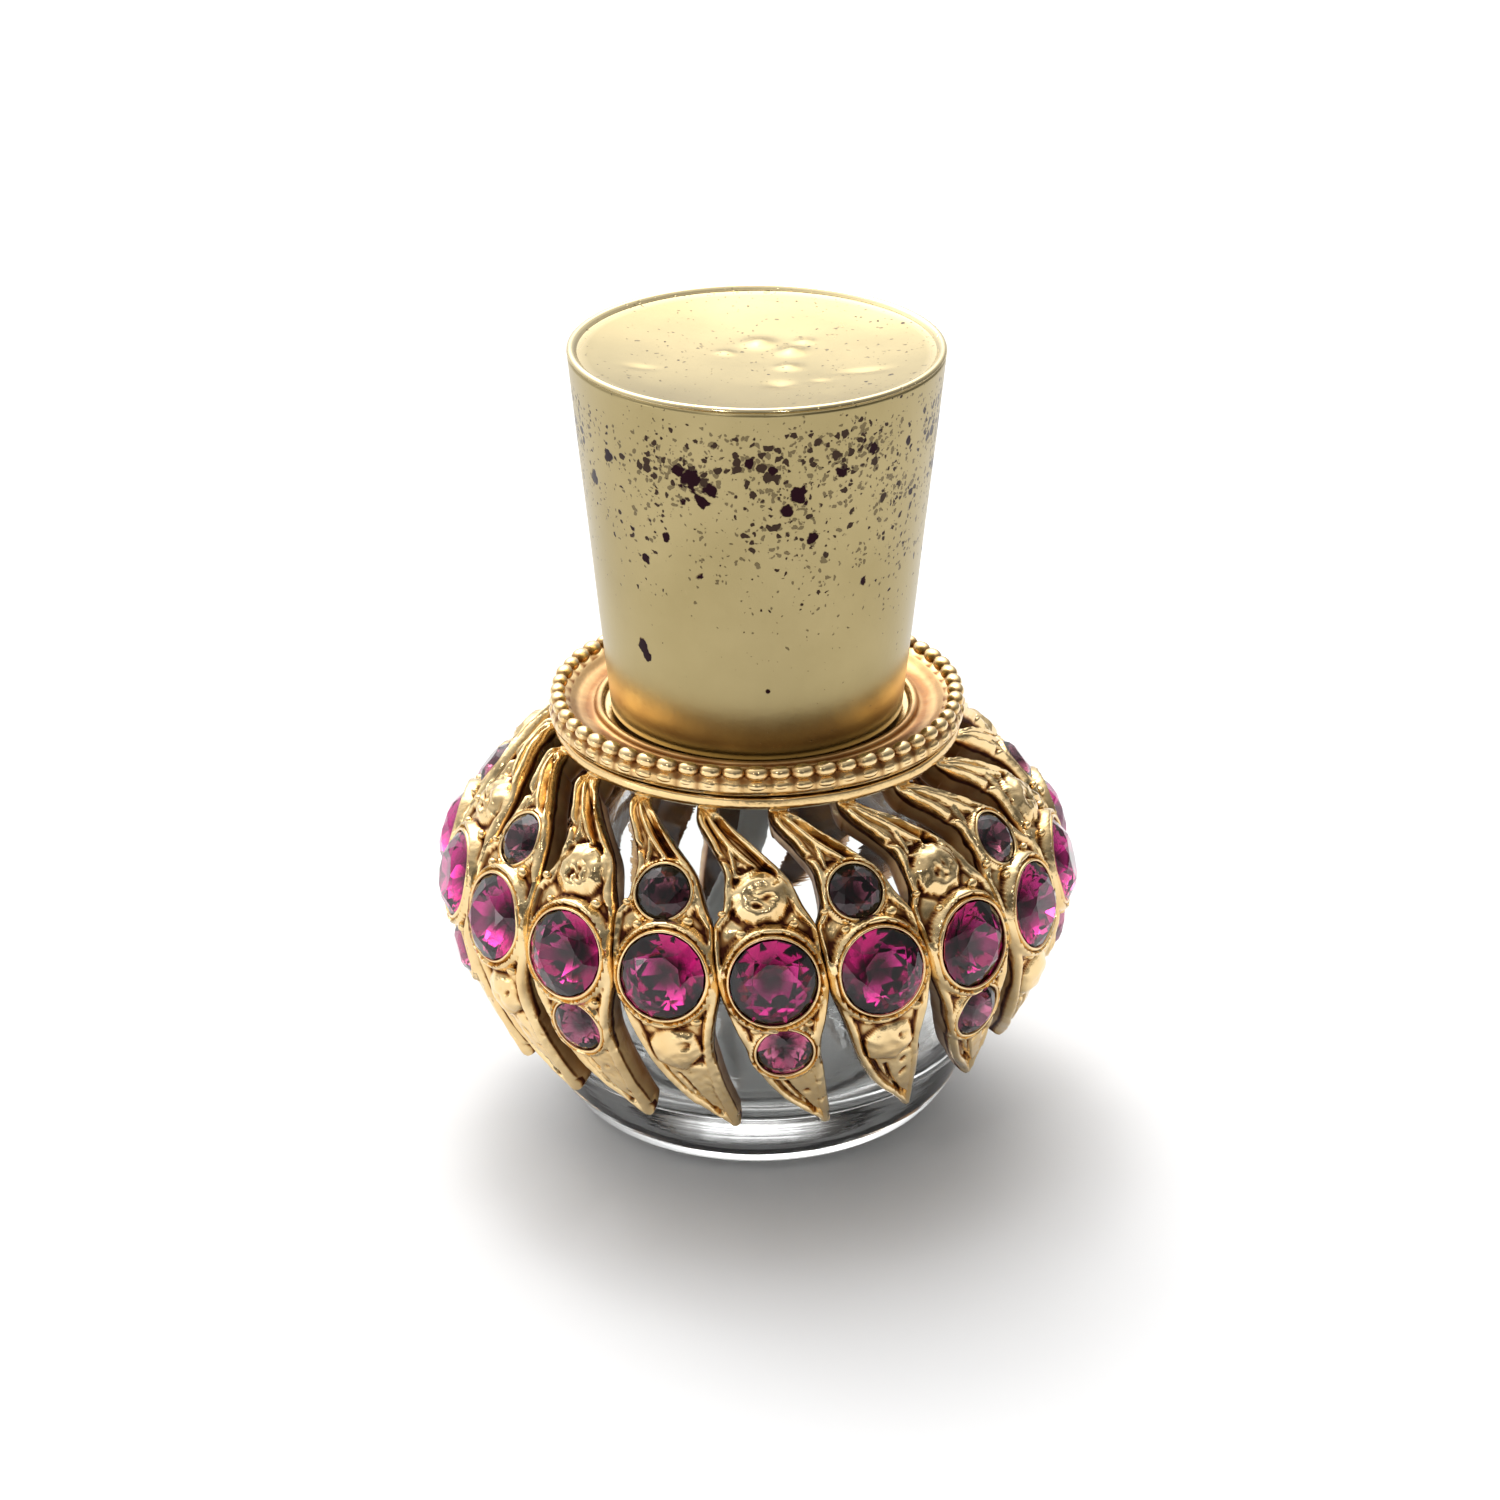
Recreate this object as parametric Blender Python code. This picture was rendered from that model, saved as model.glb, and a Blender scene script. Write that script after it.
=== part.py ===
"""Jewelled perfume atomiser: a squat glass bottle in a cast cage of swirled, stone-set leaves,
with a beaded collar, a screw-on fine-mist pump and a tapered metal cap.

Frame: +Z up, origin on the axis at the bottle's foot, front towards -Y.
Lengths below are in millimetres and angles in degrees; meshes are built in metres.
"""
import math

import bmesh
import bpy
from mathutils import Matrix, Vector

MM = 0.001
GAP = 0.3                     # clearance kept between pieces that touch

# ---- driving dimensions ----
LEAF_COUNT = 18
LEAF_PITCH = 360.0 / LEAF_COUNT
LEAF_COLUMNS = 3
LEAF_THICKNESS = 2.5
LEAF_CROWN = 0.3              # the leaf's middle stands this much above its edges
WINDOW_COLUMNS = 3            # ring segments over the window between two leaves

# One leaf's face from the ring down to its tip: radius, height, left edge, right edge.
RING_TOP = (17.1, 36.2, -17.0, -11.2)
LEAF_STATIONS = (
    (17.1, 35.2, -17.0, -11.2),
    (18.2, 34.5, -16.0, -7.2),
    (20.0, 33.0, -11.0, 0.5),
    (21.8, 31.1, -7.2, 7.2),
    (23.2, 29.4, -7.0, 9.6),
    (24.4, 27.9, -8.4, 11.6),
    (25.5, 25.7, -7.8, 12.2),
    (26.3, 22.6, -6.6, 13.4),
    (26.4, 20.0, -4.4, 12.6),
    (25.8, 17.3, -2.2, 12.1),
    (24.8, 14.5, 0.6, 13.1),
    (23.6, 11.9, 4.6, 14.4),
    (21.8, 8.7, 13.2, 16.6),
)

# A stone's seat: azimuth, radius, height and upward tilt of its face.
UPPER_SEAT = (0.6, 22.9, 29.8, 37.0)
LARGE_SEAT = (3.0, 26.15, 23.9, 12.5)
LOWER_SEAT = (5.1, 25.85, 17.3, -11.0)

LARGE_STONE_RADIUS = 3.6
UPPER_STONE_RADIUS = 2.25
LOWER_STONE_RADIUS = 2.3
BOSS_RADIUS = 2.35
BOSS_HEIGHT = 0.95

COLLAR_BASE = 36.5
COLLAR_HOLE_RADIUS = 7.9

NECK_RADIUS = 6.6
NECK_BORE_RADIUS = 4.6
NECK_LIP = 46.6
SHOULDER_HEIGHT = 36.2
THREAD_PITCH = 3.0
THREAD_START = 39.6
THREAD_TURNS = 1.5
NECK_THREAD_RADIUS = 7.45
FERRULE_THREAD_RADIUS = 6.95

FERRULE_RADIUS = 9.5
FERRULE_BORE_RADIUS = 7.75
FERRULE_BASE = 37.5
FERRULE_TOP = 49.9
FERRULE_PLATE = 0.7

PUMP_BORE_RADIUS = 2.75
PUMP_BODY_RADIUS = 3.4
PUMP_FLANGE_RADIUS = 6.9
STEM_RADIUS = 1.3
STEM_BORE_RADIUS = 0.5
STEM_BASE = 41.6
STEM_TOP = 58.1
DIP_TUBE_RADIUS = 1.25
DIP_TUBE_BORE_RADIUS = 0.75
SPRING_RADIUS = 2.05
SPRING_WIRE_RADIUS = 0.17
SPRING_TURNS = 5.0
SPRING_BASE = 36.1
BALL_RADIUS = 0.95
BALL_HEIGHT = 33.9

BUTTON_RADIUS = 5.6
BUTTON_BASE = 54.5
BUTTON_TOP = 62.1
NOZZLE_HEIGHT = 59.5
NOZZLE_RADIUS = 1.6

CAP_BASE = 37.5
CAP_BASE_RADIUS = 12.45
CAP_RIM_RADIUS = 15.78
CAP_HEIGHT = 69.7
CAP_WALL = 0.6
LINER_GRIP_RADIUS = 9.8
LINER_GRIP_TOP = 49.0

ROUND_SEGMENTS = 32
SMALL_SEGMENTS = 16


def clear_scene():
    for item in list(bpy.data.objects):
        bpy.data.objects.remove(item, do_unlink=True)


def make_material(name, colour, roughness, metallic, transmission=0.0):
    material = bpy.data.materials.new(name)
    material.use_nodes = True
    shader = material.node_tree.nodes["Principled BSDF"]
    shader.inputs["Base Color"].default_value = (*colour, 1.0)
    shader.inputs["Roughness"].default_value = roughness
    shader.inputs["Metallic"].default_value = metallic
    shader.inputs["Transmission Weight"].default_value = transmission
    return material


def make_frame(name, height, parent=None):
    """An empty on the bottle's axis that carries one moving group."""
    frame = bpy.data.objects.new(name, None)
    frame.empty_display_size = 5 * MM
    bpy.context.collection.objects.link(frame)
    frame.parent = parent
    parent_height = parent["height_mm"] if parent else 0.0
    frame["height_mm"] = height
    frame.location = (0.0, 0.0, (height - parent_height) * MM)
    return frame


def finish_mesh(bm, name, smooth_angle=35.0):
    bmesh.ops.remove_doubles(bm, verts=bm.verts, dist=0.001 * MM)
    bmesh.ops.recalc_face_normals(bm, faces=bm.faces)
    mesh = bpy.data.meshes.new(name)
    bm.to_mesh(mesh)
    bm.free()
    mesh.shade_smooth()
    mesh.set_sharp_from_angle(angle=math.radians(smooth_angle))
    return mesh


def add_piece(name, mesh, material, frame, height=0.0):
    """Links a piece under its frame; its mesh is measured from the given height on the axis."""
    piece = bpy.data.objects.new(name, mesh)
    mesh.materials.clear()
    mesh.materials.append(material)
    bpy.context.collection.objects.link(piece)
    piece.parent = frame
    piece.location = (0.0, 0.0, (height - frame["height_mm"]) * MM)
    return piece


def add_cutter(name, mesh):
    cutter = bpy.data.objects.new(name, mesh)
    bpy.context.collection.objects.link(cutter)
    cutter.hide_render = True
    cutter.display_type = "WIRE"
    return cutter


def combine(piece, other, operation):
    modifier = piece.modifiers.new(other.name, "BOOLEAN")
    modifier.operation = operation
    modifier.solver = "EXACT"
    modifier.object = other


def arc(centre_r, centre_z, radius, start, end, steps):
    """Profile points along an arc, angles measured from +r towards +z."""
    points = []
    for step in range(steps + 1):
        angle = math.radians(start + (end - start) * step / steps)
        points.append((centre_r + radius * math.cos(angle), centre_z + radius * math.sin(angle)))
    return points


def turned_mesh(name, profile, segments=ROUND_SEGMENTS):
    """A closed profile of (radius, height) points turned once round the axis."""
    bm = bmesh.new()
    ring = [bm.verts.new((radius * MM, 0.0, height * MM)) for radius, height in profile]
    on_axis = profile[0][0] == 0.0 and profile[-1][0] == 0.0
    edges = [bm.edges.new((first, second)) for first, second in zip(ring, ring[1:])]
    if not on_axis:
        edges.append(bm.edges.new((ring[-1], ring[0])))
    bmesh.ops.spin(bm, geom=ring + edges, cent=(0, 0, 0), axis=(0, 0, 1), dvec=(0, 0, 0),
                   angle=math.tau, steps=segments, use_merge=True, use_duplicate=False)
    return finish_mesh(bm, name)


def turned_piece(name, profile, material, frame, segments=ROUND_SEGMENTS):
    return add_piece(name, turned_mesh(name, profile, segments), material, frame)


def swept_mesh(name, path, section):
    """A closed section of (outward, up) offsets carried along a path of (point, outward) pairs."""
    bm = bmesh.new()
    rings = []
    for point, outward in path:
        ring = [bm.verts.new((point + outward * out + Vector((0, 0, up))) * MM) for out, up in section]
        rings.append(ring)
    count = len(section)
    for ring, following in zip(rings, rings[1:]):
        for index in range(count):
            after = (index + 1) % count
            bm.faces.new((ring[index], ring[after], following[after], following[index]))
    bm.faces.new(rings[0])
    bm.faces.new(rings[-1])
    return finish_mesh(bm, name)


def helix_path(radius, base, pitch, first_turn, last_turn, steps_per_turn):
    path = []
    steps = round((last_turn - first_turn) * steps_per_turn)
    for step in range(steps + 1):
        turn = first_turn + (last_turn - first_turn) * step / steps
        outward = Vector((math.cos(math.tau * turn), math.sin(math.tau * turn), 0.0))
        path.append((outward * radius + Vector((0, 0, base + pitch * turn)), outward))
    return path


def seat_matrix(seat, leaf):
    """Places a seat on one leaf: local Z along the face's normal, local X round the body."""
    azimuth, radius, height, tilt = seat
    turn = math.radians(azimuth + leaf * LEAF_PITCH)
    lift = math.radians(tilt)
    outward = Vector((math.sin(turn), -math.cos(turn), 0.0))
    across = Vector((math.cos(turn), math.sin(turn), 0.0))
    normal = outward * math.cos(lift) + Vector((0, 0, math.sin(lift)))
    upward = normal.cross(across)
    place = outward * radius + Vector((0, 0, height))
    matrix = Matrix((across, upward, normal)).transposed().to_4x4()
    matrix.translation = place * MM
    return matrix


def is_stone_leaf(row, leaf):
    """Upper and lower seats hold a stone on every other leaf and a gold boss between them."""
    if row == "large":
        return True
    return (leaf % 2 == 1) == (row == "upper")


# ---- glass bottle ----
def glass_bottle(frame):
    glass = make_material("clear_glass", (0.93, 0.95, 0.95), 0.02, 0.0, 1.0)
    outside = [(0.0, 0.8), (8.6, 0.6), (9.8, 0.0), (12.3, 0.0)]
    outside += [(14.5, 0.5), (16.4, 1.8), (18.0, 4.2), (18.9, 7.4), (19.2, 11.0), (19.0, 15.5)]
    outside += [(18.2, 20.5), (16.4, 25.6), (13.3, 30.4), (10.6, 33.4), (9.3, 35.2)]
    outside += [(9.1, SHOULDER_HEIGHT), (NECK_RADIUS, SHOULDER_HEIGHT)]
    lip = [(NECK_RADIUS, NECK_LIP - 0.4), (NECK_RADIUS - 0.4, NECK_LIP)]
    lip += [(NECK_BORE_RADIUS + 0.3, NECK_LIP), (NECK_BORE_RADIUS, NECK_LIP - 0.3)]
    inside = [(NECK_BORE_RADIUS, 36.0), (5.3, 33.6), (8.2, 31.2), (12.0, 27.9), (14.9, 23.4)]
    inside += [(16.4, 18.0), (16.7, 12.5), (16.3, 8.6), (15.0, 6.3), (12.6, 5.4), (0.0, 5.9)]
    bottle = turned_piece("glass_bottle", outside + lip + inside, glass, frame)
    section = [(-0.3, -0.6), (NECK_THREAD_RADIUS - NECK_RADIUS, -0.3),
               (NECK_THREAD_RADIUS - NECK_RADIUS, 0.3), (-0.3, 0.6)]
    path = helix_path(NECK_RADIUS, THREAD_START, THREAD_PITCH, 0.0, THREAD_TURNS, 24)
    combine(bottle, add_cutter("neck_thread", swept_mesh("neck_thread", path, section)), "UNION")
    return bottle


# ---- leaf cage ----
def cage_vertex(bm, radius, height, azimuth):
    turn = math.radians(azimuth)
    return bm.verts.new((radius * math.sin(turn) * MM, -radius * math.cos(turn) * MM, height * MM))


def leaf_row(bm, station, leaf):
    """The vertices across one leaf at one station, from its left edge to its right edge."""
    radius, height, left, right = station
    row = []
    for column in range(LEAF_COLUMNS + 1):
        share = column / LEAF_COLUMNS
        crown = LEAF_CROWN * (1.0 - (2.0 * share - 1.0) ** 2)
        azimuth = left + (right - left) * share + leaf * LEAF_PITCH
        row.append(cage_vertex(bm, radius + crown, height, azimuth))
    return row


def ring_row(bm, height, leaf):
    """The ring's vertices from one post's right edge to the next post's left edge."""
    radius, _, left, right = RING_TOP
    row = []
    for column in range(1, WINDOW_COLUMNS):
        azimuth = right + (left + LEAF_PITCH - right) * column / WINDOW_COLUMNS
        row.append(cage_vertex(bm, radius, height, azimuth + leaf * LEAF_PITCH))
    return row


def bridge_rows(bm, upper, lower):
    for column in range(len(upper) - 1):
        bm.faces.new((upper[column], lower[column], lower[column + 1], upper[column + 1]))


def cage_face_mesh():
    """The cage's outer face as one sheet: 18 leaves hung from a ring and joined at their waists."""
    bm = bmesh.new()
    leaves = []
    for leaf in range(LEAF_COUNT):
        rows = [leaf_row(bm, station, leaf) for station in (RING_TOP,) + LEAF_STATIONS]
        leaves.append(rows)
        for upper, lower in zip(rows, rows[1:]):
            bridge_rows(bm, upper, lower)
    for leaf, rows in enumerate(leaves):
        following = leaves[(leaf + 1) % LEAF_COUNT]
        top = [rows[0][-1]] + ring_row(bm, RING_TOP[1], leaf) + [following[0][0]]
        bottom = [rows[1][-1]] + ring_row(bm, LEAF_STATIONS[0][1], leaf) + [following[1][0]]
        bridge_rows(bm, top, bottom)
    bmesh.ops.remove_doubles(bm, verts=bm.verts, dist=0.01 * MM)
    mesh = bpy.data.meshes.new("leaf_cage")
    bm.to_mesh(mesh)
    bm.free()
    mesh.shade_smooth()
    mesh.set_sharp_from_angle(angle=math.radians(35.0))
    return mesh


def add_turned_shape(bm, profile, sides, matrix):
    """Adds a closed solid of revolution, given by (radius, height) points, in a seat's frame."""
    rings = []
    for radius, height in profile:
        ring = []
        for side in range(sides):
            angle = math.tau * side / sides
            local = Vector((radius * math.cos(angle), radius * math.sin(angle), height)) * MM
            ring.append(bm.verts.new(matrix @ local))
        rings.append(ring)
    for ring, following in zip(rings, rings[1:]):
        for side in range(sides):
            after = (side + 1) % sides
            bm.faces.new((ring[side], ring[after], following[after], following[side]))
    bm.faces.new(list(reversed(rings[0])))
    bm.faces.new(rings[-1])


def well_profile(radius):
    """A stone's well: straight at the girdle, then tapering under the pavilion."""
    return [(radius * 0.42, -1.95), (radius + 1.15 * GAP, -0.45), (radius + 1.15 * GAP, 2.0)]


def boss_profile():
    return [(BOSS_RADIUS, -1.2), (BOSS_RADIUS, 0.35 * BOSS_HEIGHT), (0.62 * BOSS_RADIUS, BOSS_HEIGHT)]


STONE_ROWS = (
    ("large", LARGE_SEAT, LARGE_STONE_RADIUS, 10),
    ("upper", UPPER_SEAT, UPPER_STONE_RADIUS, 8),
    ("lower", LOWER_SEAT, LOWER_STONE_RADIUS, 8),
)


def leaf_cage(frame):
    gold = make_material("antique_gold_casting", (0.62, 0.46, 0.20), 0.28, 1.0)
    cage = add_piece("leaf_cage", cage_face_mesh(), gold, frame)
    wall = cage.modifiers.new("wall", "SOLIDIFY")
    wall.thickness = LEAF_THICKNESS * MM
    wall.offset = -1.0
    bosses = bmesh.new()
    wells = bmesh.new()
    for leaf in range(LEAF_COUNT):
        for row, seat, radius, sides in STONE_ROWS:
            matrix = seat_matrix(seat, leaf)
            if is_stone_leaf(row, leaf):
                add_turned_shape(wells, well_profile(radius), sides, matrix)
            else:
                add_turned_shape(bosses, boss_profile(), 8, matrix)
    combine(cage, add_cutter("gold_bosses", finish_mesh(bosses, "gold_bosses")), "UNION")
    combine(cage, add_cutter("stone_wells", finish_mesh(wells, "stone_wells")), "DIFFERENCE")
    return cage


# ---- stones ----
def stone_mesh(name, radius, sides):
    """A chaton-cut stone: flat table, sloping crown, thin girdle and pointed pavilion."""
    bm = bmesh.new()
    profile = [(0.22 * radius, -1.35), (radius, -0.1), (radius, 0.15), (0.55 * radius, 0.36 * radius)]
    add_turned_shape(bm, profile, sides, Matrix.Identity(4))
    return finish_mesh(bm, name, 5.0)


def stones(frame):
    colours = {
        "large": make_material("fuchsia_stone", (0.62, 0.02, 0.28), 0.03, 0.0, 0.4),
        "upper": make_material("plum_stone", (0.22, 0.05, 0.12), 0.03, 0.0, 0.4),
        "lower": make_material("rose_stone", (0.70, 0.12, 0.32), 0.03, 0.0, 0.4),
    }
    for row, seat, radius, sides in STONE_ROWS:
        mesh = stone_mesh(row + "_stone", radius, sides)
        number = 0
        for leaf in range(LEAF_COUNT):
            if not is_stone_leaf(row, leaf):
                continue
            number += 1
            stone = add_piece("%s_stone_%02d" % (row, number), mesh, colours[row], frame)
            matrix = seat_matrix(seat, leaf)
            stone.location = matrix.to_translation()
            stone.rotation_euler = matrix.to_euler()


# ---- collar ----
def collar_ring(frame):
    gold = make_material("collar_gold", (0.66, 0.49, 0.22), 0.25, 1.0)
    plate_top = COLLAR_BASE + 0.7
    profile = [(COLLAR_HOLE_RADIUS, COLLAR_BASE), (17.5, COLLAR_BASE), (17.9, 37.4)]
    profile += arc(17.1, 38.25, 0.85, -35.0, 185.0, 6)
    profile += [(15.6, 37.55), (13.9, 37.35), (13.75, 37.9), (13.1, 37.9), (13.1, plate_top)]
    profile += [(COLLAR_HOLE_RADIUS, plate_top)]
    return turned_piece("collar_ring", profile, gold, frame)


# ---- screw ferrule ----
def ferrule(frame):
    gold = make_material("ferrule_gold", (0.72, 0.58, 0.32), 0.3, 1.0)
    plate_base = FERRULE_TOP - FERRULE_PLATE
    hole = PUMP_BODY_RADIUS + 0.35
    profile = [(FERRULE_BORE_RADIUS, FERRULE_BASE), (FERRULE_RADIUS, FERRULE_BASE)]
    profile += [(FERRULE_RADIUS, FERRULE_TOP - 0.6), (FERRULE_RADIUS - 0.6, FERRULE_TOP)]
    profile += [(hole, FERRULE_TOP), (hole, plate_base), (FERRULE_BORE_RADIUS, plate_base)]
    piece = turned_piece("screw_ferrule", profile, gold, frame)
    depth = FERRULE_BORE_RADIUS - FERRULE_THREAD_RADIUS
    section = [(0.3, -0.6), (-depth, -0.3), (-depth, 0.3), (0.3, 0.6)]
    base = THREAD_START - THREAD_PITCH / 2
    path = helix_path(FERRULE_BORE_RADIUS, base, THREAD_PITCH, 0.2, THREAD_TURNS, 24)
    combine(piece, add_cutter("ferrule_thread", swept_mesh("ferrule_thread", path, section)), "UNION")
    return piece


# ---- pump ----
def neck_gasket(frame):
    rubber = make_material("gasket_rubber", (0.75, 0.75, 0.72), 0.6, 0.0)
    base = NECK_LIP + GAP
    profile = [(3.7, base), (NECK_RADIUS, base), (NECK_RADIUS, base + 0.8), (3.7, base + 0.8)]
    return turned_piece("neck_gasket", profile, rubber, frame, SMALL_SEGMENTS)


def pump_housing(frame):
    plastic = make_material("pump_plastic", (0.85, 0.86, 0.86), 0.35, 0.0)
    flange = 48.0
    ledge = 35.8
    profile = [(PUMP_BODY_RADIUS, flange), (PUMP_FLANGE_RADIUS, flange)]
    profile += [(PUMP_FLANGE_RADIUS, flange + 0.9), (PUMP_BORE_RADIUS, flange + 0.9)]
    profile += [(PUMP_BORE_RADIUS, ledge), (0.8, ledge), (0.8, ledge - 0.5), (1.3, ledge - 0.5)]
    profile += [(1.3, 33.0), (0.55, 32.3), (0.55, 31.8), (DIP_TUBE_RADIUS + GAP, 31.8)]
    profile += [(DIP_TUBE_RADIUS + GAP, 29.2), (2.3, 29.2), (2.3, 32.2), (PUMP_BODY_RADIUS, 33.2)]
    return turned_piece("pump_housing", profile, plastic, frame, SMALL_SEGMENTS)


def stem_gland(frame):
    plastic = make_material("gland_plastic", (0.88, 0.88, 0.86), 0.4, 0.0)
    bore = STEM_RADIUS + GAP
    shoulder = 49.2
    profile = [(bore, 45.9), (PUMP_BORE_RADIUS - GAP, 45.9), (PUMP_BORE_RADIUS - GAP, shoulder)]
    profile += [(PUMP_BODY_RADIUS, shoulder), (PUMP_BODY_RADIUS, 50.9), (3.1, 51.2), (bore, 51.2)]
    return turned_piece("stem_gland", profile, plastic, frame, SMALL_SEGMENTS)


def dip_tube(frame):
    """A soft tube pushed into the housing's nipple and set in a lazy curve towards the heel."""
    plastic = make_material("dip_tube_plastic", (0.90, 0.91, 0.90), 0.3, 0.0, 0.5)
    top = 31.5
    length = 24.0
    steps = 10
    sides = 8
    bm = bmesh.new()
    rings = []
    for step in range(steps + 1):
        share = step / steps
        bend = max(0.0, share - 0.12)
        centre = Vector((-11.5 * bend ** 1.55, 0.0, top - length * share))
        slope = 11.5 * 1.55 * bend ** 0.55 / length
        along = Vector((-slope, 0.0, -1.0)).normalized()
        across = Vector((0.0, 1.0, 0.0))
        upward = along.cross(across)
        loops = []
        for radius in (DIP_TUBE_RADIUS, DIP_TUBE_BORE_RADIUS):
            loop = []
            for side in range(sides):
                angle = math.tau * side / sides
                offset = across * math.cos(angle) + upward * math.sin(angle)
                loop.append(bm.verts.new((centre + offset * radius) * MM))
            loops.append(loop)
        rings.append(loops)
    for (outer, inner), (next_outer, next_inner) in zip(rings, rings[1:]):
        for side in range(sides):
            after = (side + 1) % sides
            bm.faces.new((outer[side], outer[after], next_outer[after], next_outer[side]))
            bm.faces.new((inner[after], inner[side], next_inner[side], next_inner[after]))
    for outer, inner in (rings[0], rings[-1]):
        for side in range(sides):
            after = (side + 1) % sides
            bm.faces.new((outer[side], outer[after], inner[after], inner[side]))
    return add_piece("dip_tube", finish_mesh(bm, "dip_tube"), plastic, frame)


def pump_spring(frame):
    steel = make_material("spring_steel", (0.62, 0.63, 0.65), 0.25, 1.0)
    height = STEM_BASE - GAP - SPRING_BASE - 2 * SPRING_WIRE_RADIUS
    base = SPRING_BASE + SPRING_WIRE_RADIUS
    section = []
    for side in range(5):
        angle = math.tau * side / 5
        section.append((SPRING_WIRE_RADIUS * math.cos(angle), SPRING_WIRE_RADIUS * math.sin(angle)))
    path = helix_path(SPRING_RADIUS, base, height / SPRING_TURNS, 0.0, SPRING_TURNS, 10)
    return add_piece("pump_spring", swept_mesh("pump_spring", path, section), steel, frame)


def inlet_ball(frame):
    steel = make_material("ball_steel", (0.70, 0.70, 0.72), 0.12, 1.0)
    bm = bmesh.new()
    bmesh.ops.create_icosphere(bm, subdivisions=2, radius=BALL_RADIUS * MM)
    return add_piece("inlet_ball", finish_mesh(bm, "inlet_ball"), steel, frame, BALL_HEIGHT)


def piston(frame):
    plastic = make_material("piston_plastic", (0.80, 0.82, 0.84), 0.4, 0.0)
    bore = STEM_RADIUS + GAP
    outside = PUMP_BORE_RADIUS - GAP
    base = STEM_BASE + 1.0
    profile = [(bore, base), (outside, base), (outside, base + 0.6), (outside - 0.3, base + 1.0)]
    profile += [(outside - 0.3, base + 1.8), (outside, base + 2.2), (outside, base + 2.6), (bore, base + 2.6)]
    return turned_piece("piston", profile, plastic, frame, SMALL_SEGMENTS)


def stem(frame):
    plastic = make_material("stem_plastic", (0.90, 0.90, 0.88), 0.35, 0.0)
    profile = [(STEM_BORE_RADIUS, STEM_BASE), (2.3, STEM_BASE), (2.3, STEM_BASE + 0.7)]
    profile += [(STEM_RADIUS, STEM_BASE + 0.7), (STEM_RADIUS, STEM_TOP), (STEM_BORE_RADIUS, STEM_TOP)]
    return turned_piece("pump_stem", profile, plastic, frame, SMALL_SEGMENTS)


# ---- spray button ----
def front_cylinder(name, radius, front, back, height):
    """A cylinder along Y, for what is drilled or pressed into the button's front."""
    bm = bmesh.new()
    depth = back - front
    matrix = Matrix.Translation(Vector((0.0, (front + back) / 2, height)) * MM)
    matrix = matrix @ Matrix.Rotation(math.radians(90.0), 4, "X")
    bmesh.ops.create_cone(bm, cap_ends=True, segments=16, radius1=radius * MM, radius2=radius * MM,
                          depth=depth * MM, matrix=matrix)
    return finish_mesh(bm, name)


def actuator_button(frame):
    gold = make_material("button_gold", (0.78, 0.66, 0.40), 0.3, 1.0)
    profile = [(0.0, BUTTON_TOP - 0.7), (2.6, BUTTON_TOP - 0.5), (4.6, BUTTON_TOP)]
    profile += [(5.2, BUTTON_TOP - 0.1), (BUTTON_RADIUS, BUTTON_TOP - 0.6), (BUTTON_RADIUS, BUTTON_BASE)]
    profile += [(5.0, BUTTON_BASE), (5.0, 56.9), (2.8, 56.9), (2.8, BUTTON_BASE + 0.3)]
    profile += [(STEM_RADIUS + GAP, BUTTON_BASE + 0.3), (STEM_RADIUS + GAP, STEM_TOP + GAP)]
    profile += [(0.5, STEM_TOP + GAP), (0.5, NOZZLE_HEIGHT + 0.6), (0.0, NOZZLE_HEIGHT + 0.6)]
    button = turned_piece("actuator_button", profile, gold, frame, 24)
    recess = front_cylinder("nozzle_recess", NOZZLE_RADIUS + GAP, -7.0, -3.2, NOZZLE_HEIGHT)
    combine(button, add_cutter("nozzle_recess", recess), "DIFFERENCE")
    channel = front_cylinder("spray_channel", 0.3, -3.6, -0.1, NOZZLE_HEIGHT)
    combine(button, add_cutter("spray_channel", channel), "DIFFERENCE")
    return button


def nozzle_insert(frame):
    plastic = make_material("nozzle_plastic", (0.92, 0.92, 0.90), 0.35, 0.0)
    mesh = front_cylinder("nozzle_insert", NOZZLE_RADIUS, -5.35, -3.5, NOZZLE_HEIGHT)
    nozzle = add_piece("nozzle_insert", mesh, plastic, frame)
    orifice = front_cylinder("orifice", 0.25, -6.0, -3.0, NOZZLE_HEIGHT)
    combine(nozzle, add_cutter("orifice", orifice), "DIFFERENCE")
    return nozzle


# ---- cap ----
def cap_radius(height):
    share = (height - CAP_BASE) / (CAP_HEIGHT - CAP_BASE)
    return CAP_BASE_RADIUS + (CAP_RIM_RADIUS - CAP_BASE_RADIUS) * share


def cap_shell(frame):
    gold = make_material("satin_pale_gold", (0.60, 0.50, 0.28), 0.38, 1.0)
    rim = CAP_HEIGHT - 0.35
    profile = [(CAP_BASE_RADIUS, CAP_BASE), (cap_radius(rim), rim), (15.55, CAP_HEIGHT)]
    profile += [(15.1, CAP_HEIGHT - 0.05), (14.8, CAP_HEIGHT - 0.4), (10.5, CAP_HEIGHT - 1.05)]
    profile += [(5.5, CAP_HEIGHT - 1.45), (0.0, CAP_HEIGHT - 1.6)]
    profile += [(0.0, CAP_HEIGHT - 2.2), (10.5, CAP_HEIGHT - 1.65)]
    profile += [(cap_radius(68.3) - CAP_WALL, 68.3), (CAP_BASE_RADIUS - CAP_WALL, CAP_BASE)]
    return turned_piece("cap_shell", profile, gold, frame)


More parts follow.
